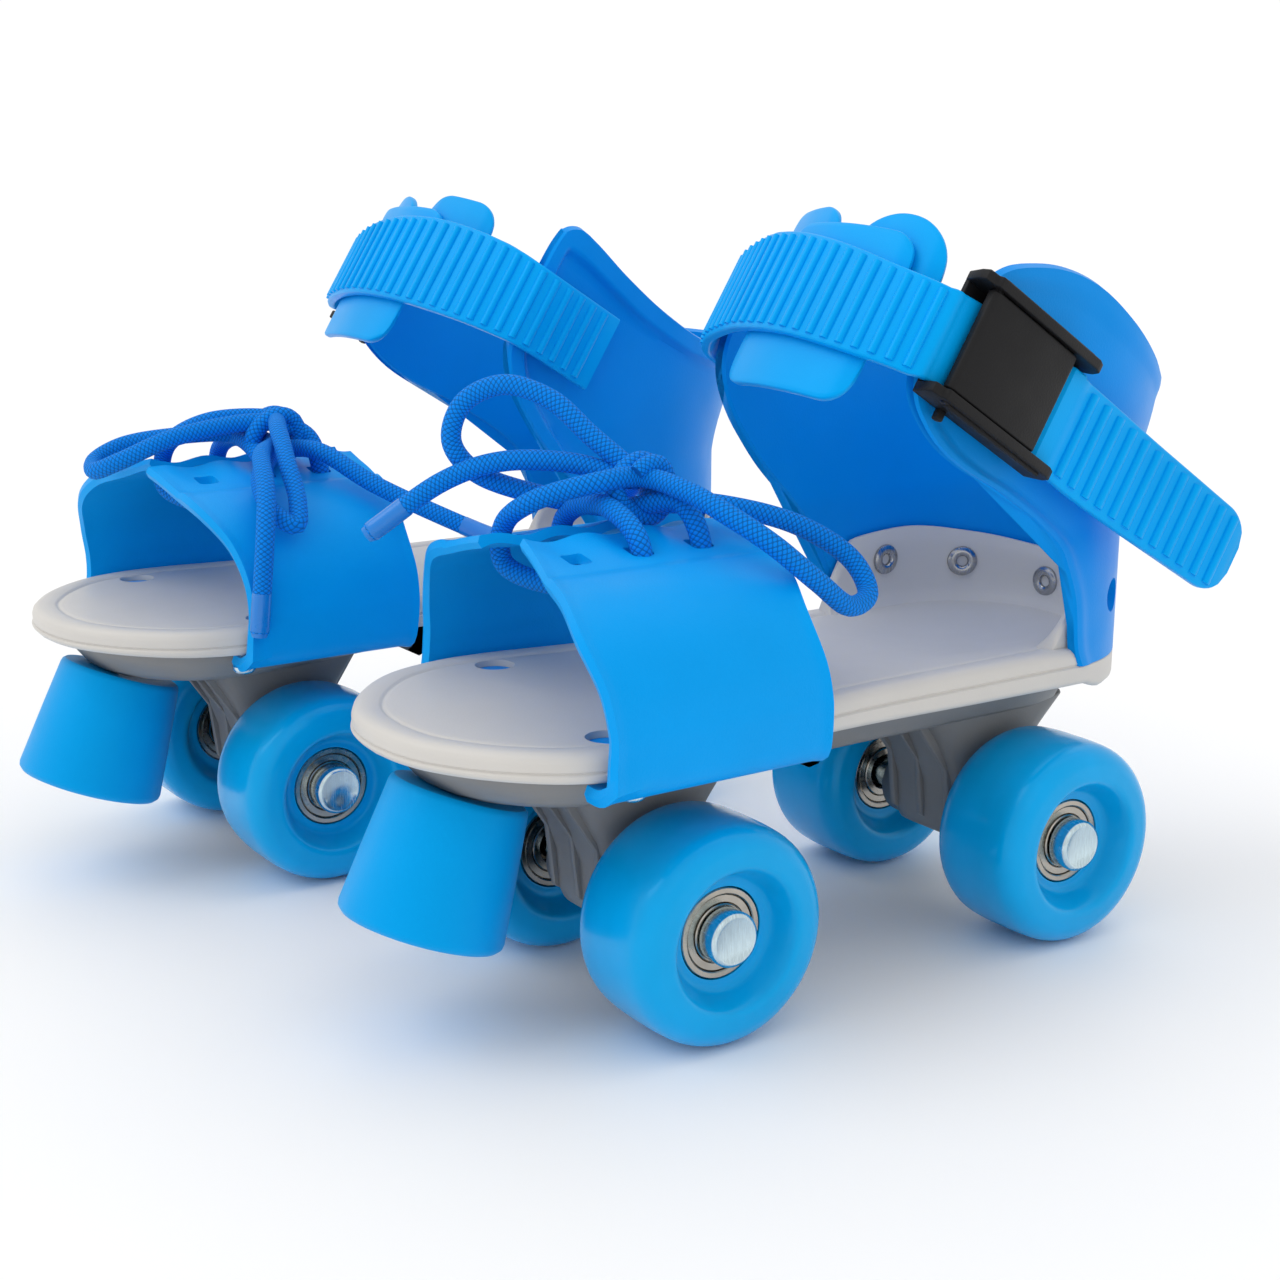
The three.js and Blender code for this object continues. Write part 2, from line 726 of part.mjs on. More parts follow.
// A pad that lies inside the strap over part of its run, [x from, x to], a depth inside it.
function padSolid(from, to, depth, low, high) {
  const front = STRAP_PATH.filter(([x, s]) => s < 12 && x > from && x < to);
  const shifted = front.map(([x, s], i) => {
    const [x0, s0] = front[Math.max(i - 1, 0)];
    const [x1, s1] = front[Math.min(i + 1, front.length - 1)];
    const length = Math.hypot(x1 - x0, s1 - s0);
    return [x - ((s1 - s0) * depth) / length, s + ((x1 - x0) * depth) / length];
  });
  return prismZ(stripOutline(shifted, PAD_THICKNESS), low, high);
}

const padDepth = (STRAP_THICKNESS + PAD_THICKNESS) / 2 + GAP;
const buckleBottom = STRAP_SIDE_X - STRAP_THICKNESS / 2 - GAP - BUCKLE_BASE;
const railLow = STRAP_LOW - RAIL_GAP - RAIL_THICKNESS;
const railHigh = STRAP_LOW + STRAP_WIDTH + RAIL_GAP + RAIL_THICKNESS;
const pinX = buckleBottom + RAIL_HEIGHT - 2.6;

// The buckle's frame: a base plate under the strap with a rail along each edge.
function buckleFrameSolid() {
  const end = BUCKLE_FRONT + BUCKLE_LENGTH;
  const top = buckleBottom + RAIL_HEIGHT;
  const rail = (low, high) =>
    prismZ(
      [
        [buckleBottom, BUCKLE_FRONT],
        [top - 2, BUCKLE_FRONT],
        [top, BUCKLE_FRONT + 3],
        [top, end - 3],
        [top - 2, end],
        [buckleBottom, end],
      ],
      low,
      high,
    );
  return cut(
    join(
      box([buckleBottom, BUCKLE_FRONT, railLow], [buckleBottom + BUCKLE_BASE, end, railHigh]),
      rail(railLow, railLow + RAIL_THICKNESS),
      rail(railHigh - RAIL_THICKNESS, railHigh),
    ),
    rod([pinX, PIN_S, railLow - 1], [pinX, PIN_S, railHigh + 1], PIN_RADIUS + 0.05, 12),
  );
}

// The lid that clamps the strap. It swings out about the pin at its front end.
function buckleLeverSolid() {
  const low = railLow + RAIL_THICKNESS + GAP;
  const high = railHigh - RAIL_THICKNESS - GAP;
  const front = PIN_S - 2.2;
  const inner = pinX - LID_THICKNESS / 2;
  const outline = [
    [inner + 0.4, front + 0.4],
    [inner, front + 1.6],
    [inner, front + LID_LENGTH - 2],
    [inner + 1, front + LID_LENGTH],
    [inner + LID_THICKNESS - 0.4, front + LID_LENGTH],
    [inner + LID_THICKNESS, front + LID_LENGTH - 1],
    [inner + LID_THICKNESS, front + 1.4],
    [inner + LID_THICKNESS - 0.6, front + 0.4],
  ];
  return cut(
    prismZ(outline, low, high),
    rod([pinX, PIN_S, low - 1], [pinX, PIN_S, high + 1], PIN_RADIUS + 0.05, 12),
  );
}

const bucklePinSolid = () =>
  rod([pinX, PIN_S, railLow + 0.2], [pinX, PIN_S, railHigh - 0.2], PIN_RADIUS, 12);

// ---------------------------------------------------------------- laces

// Each lace's route in its own skate's frame, from one tip to the other: a tail, the knot, a loop,
// the knot, across the eyelets, the knot, a loop, the knot and the other tail.
const LEFT_LACE = [
  [-45, -98, 111], [-34, -83, 124], [-24, -73, 129], [-12, -60, 129], [0, -50, 126],
  [-10, -57, 136], [-18, -63, 144], [-27, -71, 147], [-34, -78, 142], [-36, -80, 133],
  [-33, -76, 126], [-22, -66, 121], [-2, -52, 119],
  [10, -45, 121.5], [16, -43.5, 115], [16, -43.5, 106], [0, -52, 102], [-16, -60.5, 106],
  [-16, -60.5, 115], [0, -60.5, 121], [16, -60.5, 115], [16, -60.5, 106], [0, -69, 102],
  [-16, -77.5, 106], [-16, -77.5, 115], [-8, -75, 121.5], [2, -63, 126.5], [3, -51, 127],
  [16, -47, 125], [28, -44, 121], [37, -38, 115], [41, -28, 106], [40, -17, 98.5],
  [37, -9, 100], [31, -9, 107], [24, -20, 115.5], [14, -36, 120.5], [3, -47, 121],
  [-10, -40, 125], [-36, -31, 114],
];

const RIGHT_LACE = [
  [-54, -80, 77], [-53.5, -77, 103], [-46, -73, 113], [-30, -67, 120], [-10, -55, 120],
  [1, -60, 122], [13, -75, 121], [20, -88, 118.5], [20, -96, 115], [13, -99, 113],
  [5, -94, 116.5], [-2, -80, 123], [-8, -55, 126],
  [-12, -45, 122], [-16, -43.5, 115], [-16, -43.5, 106], [0, -52, 102], [16, -60.5, 106],
  [16, -60.5, 115], [0, -60.5, 121], [-16, -60.5, 115], [-16, -60.5, 106], [0, -69, 102],
  [16, -77.5, 106], [16, -77.5, 115], [9, -76, 121.5], [1, -68, 126.5], [-7, -54, 127],
  [-22, -58, 125], [-36, -62, 118], [-46, -64, 109.5], [-51, -67, 104], [-46, -71, 107],
  [-33, -69, 113.5], [-20, -60, 118], [-9, -52, 118],
  [-24, -47, 119], [-40, -38, 111], [-64, -20, 100], [-70, -16, 98],
];

// A round tube through some of a lace's points.
function laceTube(points, steps) {
  const curve = new THREE.CatmullRomCurve3(
    points.map((point) => new THREE.Vector3(...point)),
    false,
    "centripetal",
  );
  const section = new THREE.Shape();
  section.absarc(0, 0, LACE_RADIUS, 0, 2 * Math.PI);
  const geometry = new THREE.ExtrudeGeometry(section, {
    steps,
    extrudePath: curve,
    curveSegments: LACE_SIDES / 2,
  });
  return solid(geometry);
}

// A lace as one body: its runs, overlapping at their ends, and the knot that ties them.
function laceSolid(route, runs, knot) {
  const stepLength = 3.2 * LACE_RADIUS;
  const tubes = runs.map(([from, to]) => {
    const points = route.slice(from, to + 1);
    const length = points
      .slice(1)
      .reduce((sum, p, i) => sum + Math.hypot(...p.map((value, k) => value - points[i][k])), 0);
    return laceTube(points, Math.ceil(length / stepLength));
  });
  const lump = solid(new THREE.SphereGeometry(1, 10, 6).scale(...knot.size).translate(...knot.at));
  return join(lump, ...tubes);
}

const LEFT_RUNS = [[0, 4], [4, 12], [12, 27], [27, 37], [37, 39]];
const LEFT_KNOT = { at: [1, -50, 123.5], size: [7.5, 6.2, 6.5] };
const RIGHT_RUNS = [[0, 4], [4, 12], [12, 27], [27, 35], [35, 39]];
const RIGHT_KNOT = { at: [-8.5, -53.5, 121.5], size: [7.5, 6.2, 6.5] };

// ---------------------------------------------------------------- assembly

// One skate as a group of named meshes.
function skate(side) {
  const group = new THREE.Group();
  const add = (name, body, material, parent = group) => {
    const mesh = new THREE.Mesh(geometryOf(body), FINISHES[material]);
    mesh.name = `${name}_${side}`;
    parent.add(mesh);
    return mesh;
  };

  add("footplate", footplateSolid(), "sole_grey");
  add("front_truck", frontTruckSolid(), "chassis_grey");
  add("rear_truck", rearTruckSolid(), "chassis_grey");
  add("toe_stop", cut(stopFrustum(), stopBoltSpace()), "stop_rubber");
  add("toe_stop_bolt", stopBoltSolid(), "zinc");

  for (const [end, y] of [["front", -WHEELBASE / 2], ["rear", WHEELBASE / 2]]) {
    add(`${end}_axle`, axleSolid(), "zinc").position.set(0, y, WHEEL_RADIUS);
    for (const [place, x] of [["outer", WHEEL_TRACK / 2], ["inner", -WHEEL_TRACK / 2]]) {
      add(`${end}_${place}_wheel`, wheelSolid(), "wheel_blue").position.set(x, y, WHEEL_RADIUS);
      add(`${end}_${place}_bearings`, bearingSolid(), "steel").position.set(x, y, WHEEL_RADIUS);
    }
  }

  for (const [place, sign] of [["outer", 1], ["inner", -1]]) {
    add(`toe_strap_${place}`, toeStrapSolid(sign), "blue_plastic");
    add(`strap_bolt_${place}`, strapBoltSolid(sign), "zinc");
  }

  add("heel_shell", heelShellSolid(), "blue_plastic");
  for (const rivet of HEEL_RIVETS) add(rivet.name, rivetSolid(rivet), "steel");

  const cuff = new THREE.Group();
  cuff.rotation.x = -CUFF_TILT;
  cuff.position.z = CUFF_HEIGHT;
  group.add(cuff);
  add("ankle_strap", ankleStrapSolid(), "blue_plastic", cuff);
  add("tongue_pad", padSolid(-30, 33, padDepth, -8, 29), "blue_plastic", cuff);
  add("instep_pad", padSolid(14, 44, padDepth + PAD_THICKNESS + GAP, 6, 34), "blue_plastic", cuff);
  add("buckle_frame", buckleFrameSolid(), "black_plastic", cuff);
  add("buckle_lever", buckleLeverSolid(), "black_plastic", cuff);
  add("buckle_pin", bucklePinSolid(), "steel", cuff);

  const lace =
    side === "left"
      ? laceSolid(LEFT_LACE, LEFT_RUNS, LEFT_KNOT)
      : laceSolid(RIGHT_LACE, RIGHT_RUNS, RIGHT_KNOT);
  add("lace", lace, "lace_blue");
  return group;
}

const left = skate("left");
const right = skate("right");
right.scale.x = -1;
right.position.set(-PAIR_SPACING, -PAIR_STAGGER, 0);

// The pair stands on z = 0 with the middle of its footprint at the origin. The laces are left out.
const pair = new THREE.Group();
pair.add(left, right);
pair.updateMatrixWorld(true);
const extent = new THREE.Box3();
pair.traverse((piece) => {
  if (piece.isMesh && !piece.name.startsWith("lace")) extent.expandByObject(piece, true);
});
const centre = extent.getCenter(new THREE.Vector3());
pair.position.set(-centre.x, -centre.y, -extent.min.z);

export default pair;
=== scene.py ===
"""A pair of child's strap-on quad roller skates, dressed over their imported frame.

Every shape is drawn in one skate's own millimetres: x = 0 on its middle plane with the buckle side at +x,
y = 0 midway between the axles with the toes towards -y, z = 0 on the floor. A Stance then puts it in the row
frame, mirrored for the right skate.
"""

import logging
import math
from bisect import bisect_left
from collections.abc import Callable, Sequence
from dataclasses import dataclass, field
from enum import Enum

import bmesh
import bpy
from mathutils import Matrix, Vector


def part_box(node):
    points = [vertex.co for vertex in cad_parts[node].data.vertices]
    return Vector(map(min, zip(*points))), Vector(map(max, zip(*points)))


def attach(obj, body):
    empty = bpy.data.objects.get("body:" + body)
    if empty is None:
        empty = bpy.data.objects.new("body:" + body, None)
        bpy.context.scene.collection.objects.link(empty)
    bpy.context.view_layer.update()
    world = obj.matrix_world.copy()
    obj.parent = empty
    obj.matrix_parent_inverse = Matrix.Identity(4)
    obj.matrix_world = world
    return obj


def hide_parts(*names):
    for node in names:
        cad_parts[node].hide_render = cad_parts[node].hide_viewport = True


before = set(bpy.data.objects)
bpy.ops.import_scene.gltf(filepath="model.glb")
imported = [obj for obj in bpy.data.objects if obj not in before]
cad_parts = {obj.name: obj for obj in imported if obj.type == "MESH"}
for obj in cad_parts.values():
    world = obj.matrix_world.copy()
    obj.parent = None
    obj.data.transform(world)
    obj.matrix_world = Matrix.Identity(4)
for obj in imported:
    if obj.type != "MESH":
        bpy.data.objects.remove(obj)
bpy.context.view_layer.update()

log = logging.getLogger("skates")

Triple = tuple[float, float, float]
Pair = tuple[float, float]
Step = tuple[str, dict[str, object]]

MM = 0.001
SHARP_ANGLE = math.radians(38)


class Side(Enum):
    """The wearer's foot that a skate is for."""

    LEFT = "left"
    RIGHT = "right"


# ---------------------------------------------------------------- curves and numbers


def spline(points: Sequence[Sequence[float]], steps: int) -> list[Vector]:
    """Samples a smooth curve that passes through every point.

    Args:
        points: The points it passes through, of two or three numbers each.
        steps: How many samples each span between two points gets.

    Returns:
        The samples, from the first point to the last.
    """
    knots = [Vector(tuple(p) + (0.0,) * (3 - len(p))) for p in points]
    padded = [2 * knots[0] - knots[1], *knots, 2 * knots[-1] - knots[-2]]
    samples = []
    for i in range(len(knots) - 1):
        a, b, c, d = padded[i : i + 4]
        gaps = [max((q - p).length, 1e-6) ** 0.5 for p, q in ((a, b), (b, c), (c, d))]
        t0, t1 = 0.0, gaps[0]
        t2 = t1 + gaps[1]
        t3 = t2 + gaps[2]
        for k in range(steps):
            t = t1 + (t2 - t1) * k / steps
            ab = a.lerp(b, (t - t0) / (t1 - t0))
            bc = b.lerp(c, (t - t1) / (t2 - t1))
            cd = c.lerp(d, (t - t2) / (t3 - t2))
            abc = ab.lerp(bc, (t - t0) / (t2 - t0))
            bcd = bc.lerp(cd, (t - t1) / (t3 - t1))
            samples.append(abc.lerp(bcd, (t - t1) / (t2 - t1)))
    samples.append(knots[-1])
    return samples


def resampled(points: Sequence[Vector], count: int) -> list[Vector]:
    """Spaces points evenly along a line.

    Args:
        points: The line's points.
        count: How many points to return.

    Returns:
        The evenly spaced points, with both ends kept.
    """
    lengths = [0.0]
    for a, b in zip(points, points[1:]):
        lengths.append(lengths[-1] + (b - a).length)
    spaced = []
    for k in range(count):
        want = lengths[-1] * k / (count - 1)
        i = min(max(bisect_left(lengths, want), 1), len(points) - 1)
        share = (want - lengths[i - 1]) / max(lengths[i] - lengths[i - 1], 1e-9)
        spaced.append(points[i - 1].lerp(points[i], share))
    return spaced


def line_length(points: Sequence[Vector]) -> float:
    """Adds up the lengths between neighbouring points."""
    return sum((b - a).length for a, b in zip(points, points[1:]))


def smoothstep(value: float, low: float, high: float) -> float:
    """Rises smoothly from 0 at low to 1 at high."""
    share = min(max((value - low) / (high - low), 0.0), 1.0)
    return share * share * (3 - 2 * share)


@dataclass
class Graph:
    """A smooth function of one number, drawn through a few of its values."""

    points: Sequence[Pair]
    samples: list[Vector] = field(init=False)

    def __post_init__(self) -> None:
        """Samples the curve once."""
        self.samples = spline(self.points, 12)

    def __call__(self, value: float) -> float:
        """Reads the function, held level past both ends."""
        xs = [p.x for p in self.samples]
        i = bisect_left(xs, value)
        if i <= 0:
            return self.samples[0].y
        if i >= len(xs):
            return self.samples[-1].y
        a, b = self.samples[i - 1], self.samples[i]
        share = (value - a.x) / max(b.x - a.x, 1e-9)
        return a.y + (b.y - a.y) * share


# ---------------------------------------------------------------- finishes


class Recipe:
    """Adds nodes to one material's tree."""

    def __init__(self, name: str) -> None:
        """Starts a material that holds a Principled shader and its output."""
        self.material = bpy.data.materials.new(name)
        self.material.use_nodes = True
        self.tree = self.material.node_tree
        self.shader = self.tree.nodes["Principled BSDF"]

    def node(self, kind: str, **settings: object) -> bpy.types.Node:
        """Adds a node.

        Args:
            kind: The node's type name.
            settings: Its properties.

        Returns:
            The node.
        """
        made = self.tree.nodes.new(kind)
        for key, value in settings.items():
            setattr(made, key, value)
        return made

    def join(self, output: bpy.types.NodeSocket, target: bpy.types.NodeSocket) -> None:
        """Links one socket to another."""
        self.tree.links.new(output, target)

    def value(self, operation: str, *terms: object) -> bpy.types.NodeSocket:
        """Adds a maths node.

        Args:
            operation: The maths node's operation.
            terms: Its inputs, each a number or a socket.

        Returns:
            The result's socket.
        """
        made = self.node("ShaderNodeMath", operation=operation)
        for socket, term in zip(made.inputs, terms):
            if isinstance(term, (int, float)):
                socket.default_value = term
            else:
                self.join(term, socket)
        return made.outputs[0]

    def places(self, scale: Triple = (1.0, 1.0, 1.0)) -> bpy.types.NodeSocket:
        """Gives the surface's own places in metres, stretched by a scale."""
        source = self.node("ShaderNodeTexCoord").outputs["Object"]
        mapping = self.node("ShaderNodeMapping")
        mapping.inputs["Scale"].default_value = scale
        self.join(source, mapping.inputs["Vector"])
        return mapping.outputs["Vector"]

    def noise(self, places: bpy.types.NodeSocket, scale: float, detail: float = 2.0) -> bpy.types.NodeSocket:
        """Adds a noise pattern and gives its strength.

        Args:
            places: The places it is read at.
            scale: How many lumps it has to a metre.
            detail: How many finer layers it has.

        Returns:
            The strength's socket.
        """
        made = self.node("ShaderNodeTexNoise")
        made.inputs["Scale"].default_value = scale
        made.inputs["Detail"].default_value = detail
        self.join(places, made.inputs["Vector"])
        return made.outputs["Fac"]

    def between(self, strength: bpy.types.NodeSocket, low: float, high: float) -> bpy.types.NodeSocket:
        """Maps a pattern's middle range onto two numbers."""
        made = self.node("ShaderNodeMapRange")
        made.inputs["From Min"].default_value = 0.3
        made.inputs["From Max"].default_value = 0.7
        made.inputs["To Min"].default_value = low
        made.inputs["To Max"].default_value = high
        self.join(strength, made.inputs["Value"])
        return made.outputs["Result"]

    def tint(self, strength: bpy.types.NodeSocket, dark: Triple, light: Triple) -> bpy.types.NodeSocket:
        """Turns a pattern into a colour between two."""
        ramp = self.node("ShaderNodeValToRGB")
        ramp.color_ramp.elements[0].position = 0.3
        ramp.color_ramp.elements[1].position = 0.7
        ramp.color_ramp.elements[0].color = (*dark, 1.0)
        ramp.color_ramp.elements[1].color = (*light, 1.0)
        self.join(strength, ramp.inputs["Fac"])
        return ramp.outputs["Color"]

    def bump(self, height: bpy.types.NodeSocket, depth: float, strength: float) -> None:
        """Roughens the shader's surface.

        Args:
            height: The relief's pattern.
            depth: How deep the relief is, in metres.
            strength: How strongly it shows.
        """
        made = self.node("ShaderNodeBump")
        made.inputs["Strength"].default_value = strength
        made.inputs["Distance"].default_value = depth
        self.join(height, made.inputs["Height"])
        self.join(made.outputs["Normal"], self.shader.inputs["Normal"])


def shaded(colour: Triple, by: float) -> Triple:
    """A colour made lighter or darker by a factor."""
    return tuple(min(channel * by, 1.0) for channel in colour)


@dataclass(frozen=True)
class MouldedPlastic:
    """Injection-moulded plastic: a fine spark-eroded grain and a slight clouding."""

    name: str
    colour: Triple
    roughness: float
    grain_depth: float = 0.00006
    clouding: float = 0.04
    coat: float = 0.0
    gloss: float = 0.4
    sheen: Triple = (1.0, 1.0, 1.0)

    def material(self) -> bpy.types.Material:
        """Builds the finish."""
        recipe = Recipe(self.name)
        shader = recipe.shader
        places = recipe.places()
        clouds = recipe.noise(places, 28.0, 3.0)
        tint = recipe.tint(clouds, shaded(self.colour, 1 - self.clouding), shaded(self.colour, 1 + self.clouding))
        recipe.join(tint, shader.inputs["Base Color"])
        polish = recipe.noise(places, 90.0, 2.0)
        recipe.join(recipe.between(polish, self.roughness - 0.05, self.roughness + 0.06), shader.inputs["Roughness"])
        shader.inputs["Coat Weight"].default_value = self.coat
        shader.inputs["Coat Roughness"].default_value = 0.08
        shader.inputs["Specular IOR Level"].default_value = self.gloss
        shader.inputs["Specular Tint"].default_value = (*self.sheen, 1.0)
        recipe.bump(recipe.noise(places, 1900.0, 2.0), self.grain_depth, 0.55)
        return recipe.material


@dataclass(frozen=True)
class Urethane:
    """Cast polyurethane of a wheel: glossy, with faint flow marks."""

    name: str
    colour: Triple

    def material(self) -> bpy.types.Material:
        """Builds the finish."""
        recipe = Recipe(self.name)
        shader = recipe.shader
        places = recipe.places((1.0, 1.0, 0.5))
        flow = recipe.noise(places, 60.0, 3.0)
        colour = recipe.tint(flow, shaded(self.colour, 0.94), shaded(self.colour, 1.05))
        recipe.join(colour, shader.inputs["Base Color"])
        recipe.join(recipe.between(recipe.noise(places, 150.0), 0.2, 0.27), shader.inputs["Roughness"])
        shader.inputs["Coat Weight"].default_value = 0.06
        shader.inputs["Coat Roughness"].default_value = 0.06
        shader.inputs["Specular Tint"].default_value = (0.25, 0.75, 1.0, 1.0)
        recipe.bump(recipe.noise(places, 420.0, 1.0), 0.00005, 0.25)
        return recipe.material


@dataclass(frozen=True)
class PlatedMetal:
    """Zinc plate or plain steel, with fine scratches along one way."""

    name: str
    colour: Triple
    roughness: float
    scratches: Triple = (1.0, 12.0, 1.0)

    def material(self) -> bpy.types.Material:
        """Builds the finish."""
        recipe = Recipe(self.name)
        shader = recipe.shader
        places = recipe.places(self.scratches)
        scuffs = recipe.noise(places, 260.0, 4.0)
        colour = recipe.tint(scuffs, shaded(self.colour, 0.82), shaded(self.colour, 1.06))
        recipe.join(colour, shader.inputs["Base Color"])
        recipe.join(recipe.between(scuffs, self.roughness - 0.07, self.roughness + 0.1), shader.inputs["Roughness"])
        shader.inputs["Metallic"].default_value = 1.0
        recipe.bump(scuffs, 0.00002, 0.3)
        return recipe.material


@dataclass(frozen=True)
class Braid:
    """Round braided cord, woven in its UV: u once round, v along it in strands, with painted shade in the grooves
    between strands and a painted highlight on their crowns.
    """

    name: str
    colour: Triple
    strands: int = 8

    def material(self) -> bpy.types.Material:
        """Builds the finish."""
        recipe = Recipe(self.name)
        shader = recipe.shader
        split = recipe.node("ShaderNodeSeparateXYZ")
        recipe.join(recipe.node("ShaderNodeUVMap", uv_map="UVMap").outputs["UV"], split.inputs["Vector"])
        round_it = recipe.value("MULTIPLY", split.outputs["X"], self.strands * math.pi)
        along = recipe.value("MULTIPLY", split.outputs["Y"], math.pi)
        crossing = [
            recipe.value("ABSOLUTE", recipe.value("SINE", recipe.value(way, round_it, along)))
            for way in ("ADD", "SUBTRACT")
        ]
        over = recipe.value("MULTIPLY", crossing[0], crossing[1])
        weave = recipe.value("POWER", over, 0.5)
        fuzz = recipe.noise(recipe.places(), 3500.0, 3.0)
        # Painted shade and highlight: the colour follows the weave, darker in the grooves between strands and lighter
        # on their crowns.
        colour = recipe.tint(weave, shaded(self.colour, 0.62), shaded(self.colour, 1.22))
        recipe.join(colour, shader.inputs["Base Color"])
        shader.inputs["Roughness"].default_value = 0.75
        shader.inputs["Specular Tint"].default_value = (0.2, 0.6, 1.0, 1.0)
        shader.inputs["Sheen Weight"].default_value = 0.12
        shader.inputs["Sheen Tint"].default_value = (0.1, 0.5, 1.0, 1.0)
        shader.inputs["Sheen Roughness"].default_value = 0.4
        height = recipe.value("ADD", weave, recipe.value("MULTIPLY", fuzz, 0.25))
        recipe.bump(height, 0.0003, 0.7)
        return recipe.material


class Finishes:
    """Every finish of the skates, built once."""

    def __init__(self) -> None:
        """Builds the materials."""
        azure, blue_sheen = (0.0, 0.34, 0.87), (0.1, 0.6, 1.0)
        self.shell = MouldedPlastic("azure_plastic", (0.0, 0.275, 0.82), 0.4, sheen=blue_sheen).material()
        self.band = MouldedPlastic("toe_strap_plastic", azure, 0.45, 0.00009, sheen=blue_sheen).material()
        self.strap = MouldedPlastic("strap_plastic", (0.0, 0.37, 0.88), 0.36, 0.00004, sheen=blue_sheen).material()
        self.stop = MouldedPlastic("stop_rubber", (0.0, 0.35, 0.82), 0.46, 0.00008, sheen=blue_sheen).material()
        self.wheel = Urethane("wheel_urethane", (0.0, 0.38, 0.82)).material()
        self.sole = MouldedPlastic("sole_plastic", (0.63, 0.61, 0.58), 0.45, 0.00007, 0.02, gloss=0.3).material()
        self.wall = MouldedPlastic("heel_wall_plastic", (0.36, 0.345, 0.325), 0.4, 0.00005, 0.03, gloss=0.35).material()
        self.chassis = MouldedPlastic("chassis_plastic", (0.23, 0.23, 0.23), 0.4, 0.00006, 0.04, gloss=0.35).material()
        self.buckle = MouldedPlastic("buckle_plastic", (0.008, 0.008, 0.009), 0.5, 0.00009, 0.08, gloss=0.22).material()
        self.shield = MouldedPlastic("bearing_shield", (0.03, 0.026, 0.022), 0.35, 0.00003, 0.1, 0.3).material()
        self.sleeve = MouldedPlastic("spacer_sleeve", (0.006, 0.05, 0.075), 0.3, 0.00003, 0.1, 0.3).material()
        self.pin = PlatedMetal("black_pin", (0.03, 0.03, 0.032), 0.4).material()
        self.zinc = PlatedMetal("zinc_plate", (0.6, 0.74, 0.8), 0.2).material()
        self.steel = PlatedMetal("bearing_steel", (0.5, 0.46, 0.4), 0.22, (12.0, 1.0, 1.0)).material()
        self.rivet = PlatedMetal("rivet_steel", (0.42, 0.43, 0.45), 0.22).material()
        self.lace = Braid("lace_braid", (0.0, 0.19, 0.7)).material()
        self.tip = MouldedPlastic("lace_tip", (0.0, 0.21, 0.7), 0.3, 0.00002, 0.05, 0.35).material()


# ---------------------------------------------------------------- making pieces


@dataclass(frozen=True)
class Stance:
    """Where one skate stands in the row frame."""

    side: Side
    origin: Vector
    mirror: float

    @classmethod
    def of(cls, side: Side) -> "Stance":
        """Reads a skate's place from its axles."""
        front_low, front_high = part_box(f"front_axle_{side.value}")
        rear_low, rear_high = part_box(f"rear_axle_{side.value}")
        middle = (front_low + front_high + rear_low + rear_high) / 4
        mirror = 1.0 if side is Side.LEFT else -1.0
        return cls(side, Vector((middle.x, middle.y, 0.0)), mirror)

    @property
    def matrix(self) -> Matrix:
        """Takes the skate's own millimetres to the row frame's metres."""
        return Matrix.Translation(self.origin) @ Matrix.Diagonal((MM * self.mirror, MM, MM, 1.0))

    def named(self, node: str) -> str:
        """The name of one of this skate's nodes or bodies."""
        return f"{node}_{self.side.value}"

    @property
    def body(self) -> str:
        """The name of this skate's main body."""
        return f"{self.side.value}_skate"


def mesh_of(points: Sequence[Sequence[float]], faces: Sequence[Sequence[int]]) -> bpy.types.Mesh:
    """Makes a mesh with its doubles merged and its faces turned outwards."""
    mesh = bpy.data.meshes.new("drawn")
    mesh.from_pydata([tuple(p) for p in points], [], [tuple(f) for f in faces])
    shape = bmesh.new()
    shape.from_mesh(mesh)
    bmesh.ops.remove_doubles(shape, verts=shape.verts, dist=1e-4)
    bmesh.ops.dissolve_degenerate(shape, edges=shape.edges, dist=1e-5)
    bmesh.ops.recalc_face_normals(shape, faces=shape.faces)
    shape.to_mesh(mesh)
    shape.free()
    return mesh


def lofted(rings: Sequence[Sequence[Sequence[float]]], closed: bool = False) -> bpy.types.Mesh:
    """Skins a body over rings of equally many points.

    Args:
        rings: The rings, in order.
        closed: Whether the last ring joins the first, instead of flat ends.

    Returns:
        The mesh.
    """
    count = len(rings[0])
    points = [p for ring in rings for p in ring]
    faces = []
    spans = len(rings) if closed else len(rings) - 1
    for r in range(spans):
        below, above = r * count, ((r + 1) % len(rings)) * count
        for i in range(count):
            j = (i + 1) % count
            faces.append((below + i, below + j, above + j, above + i))
    if not closed:
        last = (len(rings) - 1) * count
        faces.append(tuple(range(count)))
        faces.append(tuple(range(last, last + count)))
    return mesh_of(points, faces)


def revolved(profile: Sequence[Pair], segments: int) -> bpy.types.Mesh:
    """Turns a profile of (distance from the axis, place along it) about x."""
    rings = []
    for k in range(segments):
        angle = 2 * math.pi * k / segments
        rings.append([(x, r * math.cos(angle), r * math.sin(angle)) for r, x in profile])
    return lofted([list(ring) for ring in zip(*rings)], closed=profile[0] != profile[-1] and profile[0][0] > 0)


def prism(outline: Sequence[Pair], low: float, high: float) -> bpy.types.Mesh:
    """Raises a flat outline into a prism along z."""
    return lofted([[(u, v, w) for u, v in outline] for w in (low, high)])


def refined(mesh: bpy.types.Mesh, *steps: Step) -> bpy.types.Mesh:
    """Runs modifiers over a mesh.

    Args:
        mesh: The mesh to work on.
        steps: Each modifier's kind and its settings.

    Returns:
        The result, as a plain mesh.
    """
    blank = bpy.data.objects.new("blank", mesh)
    bpy.context.scene.collection.objects.link(blank)
    for kind, settings in steps:
        modifier = blank.modifiers.new(kind.lower(), kind)
        for key, value in settings.items():
            setattr(modifier, key, value)
    depsgraph = bpy.context.evaluated_depsgraph_get()
    result = bpy.data.meshes.new_from_object(blank.evaluated_get(depsgraph))
    bpy.data.objects.remove(blank)
    return result


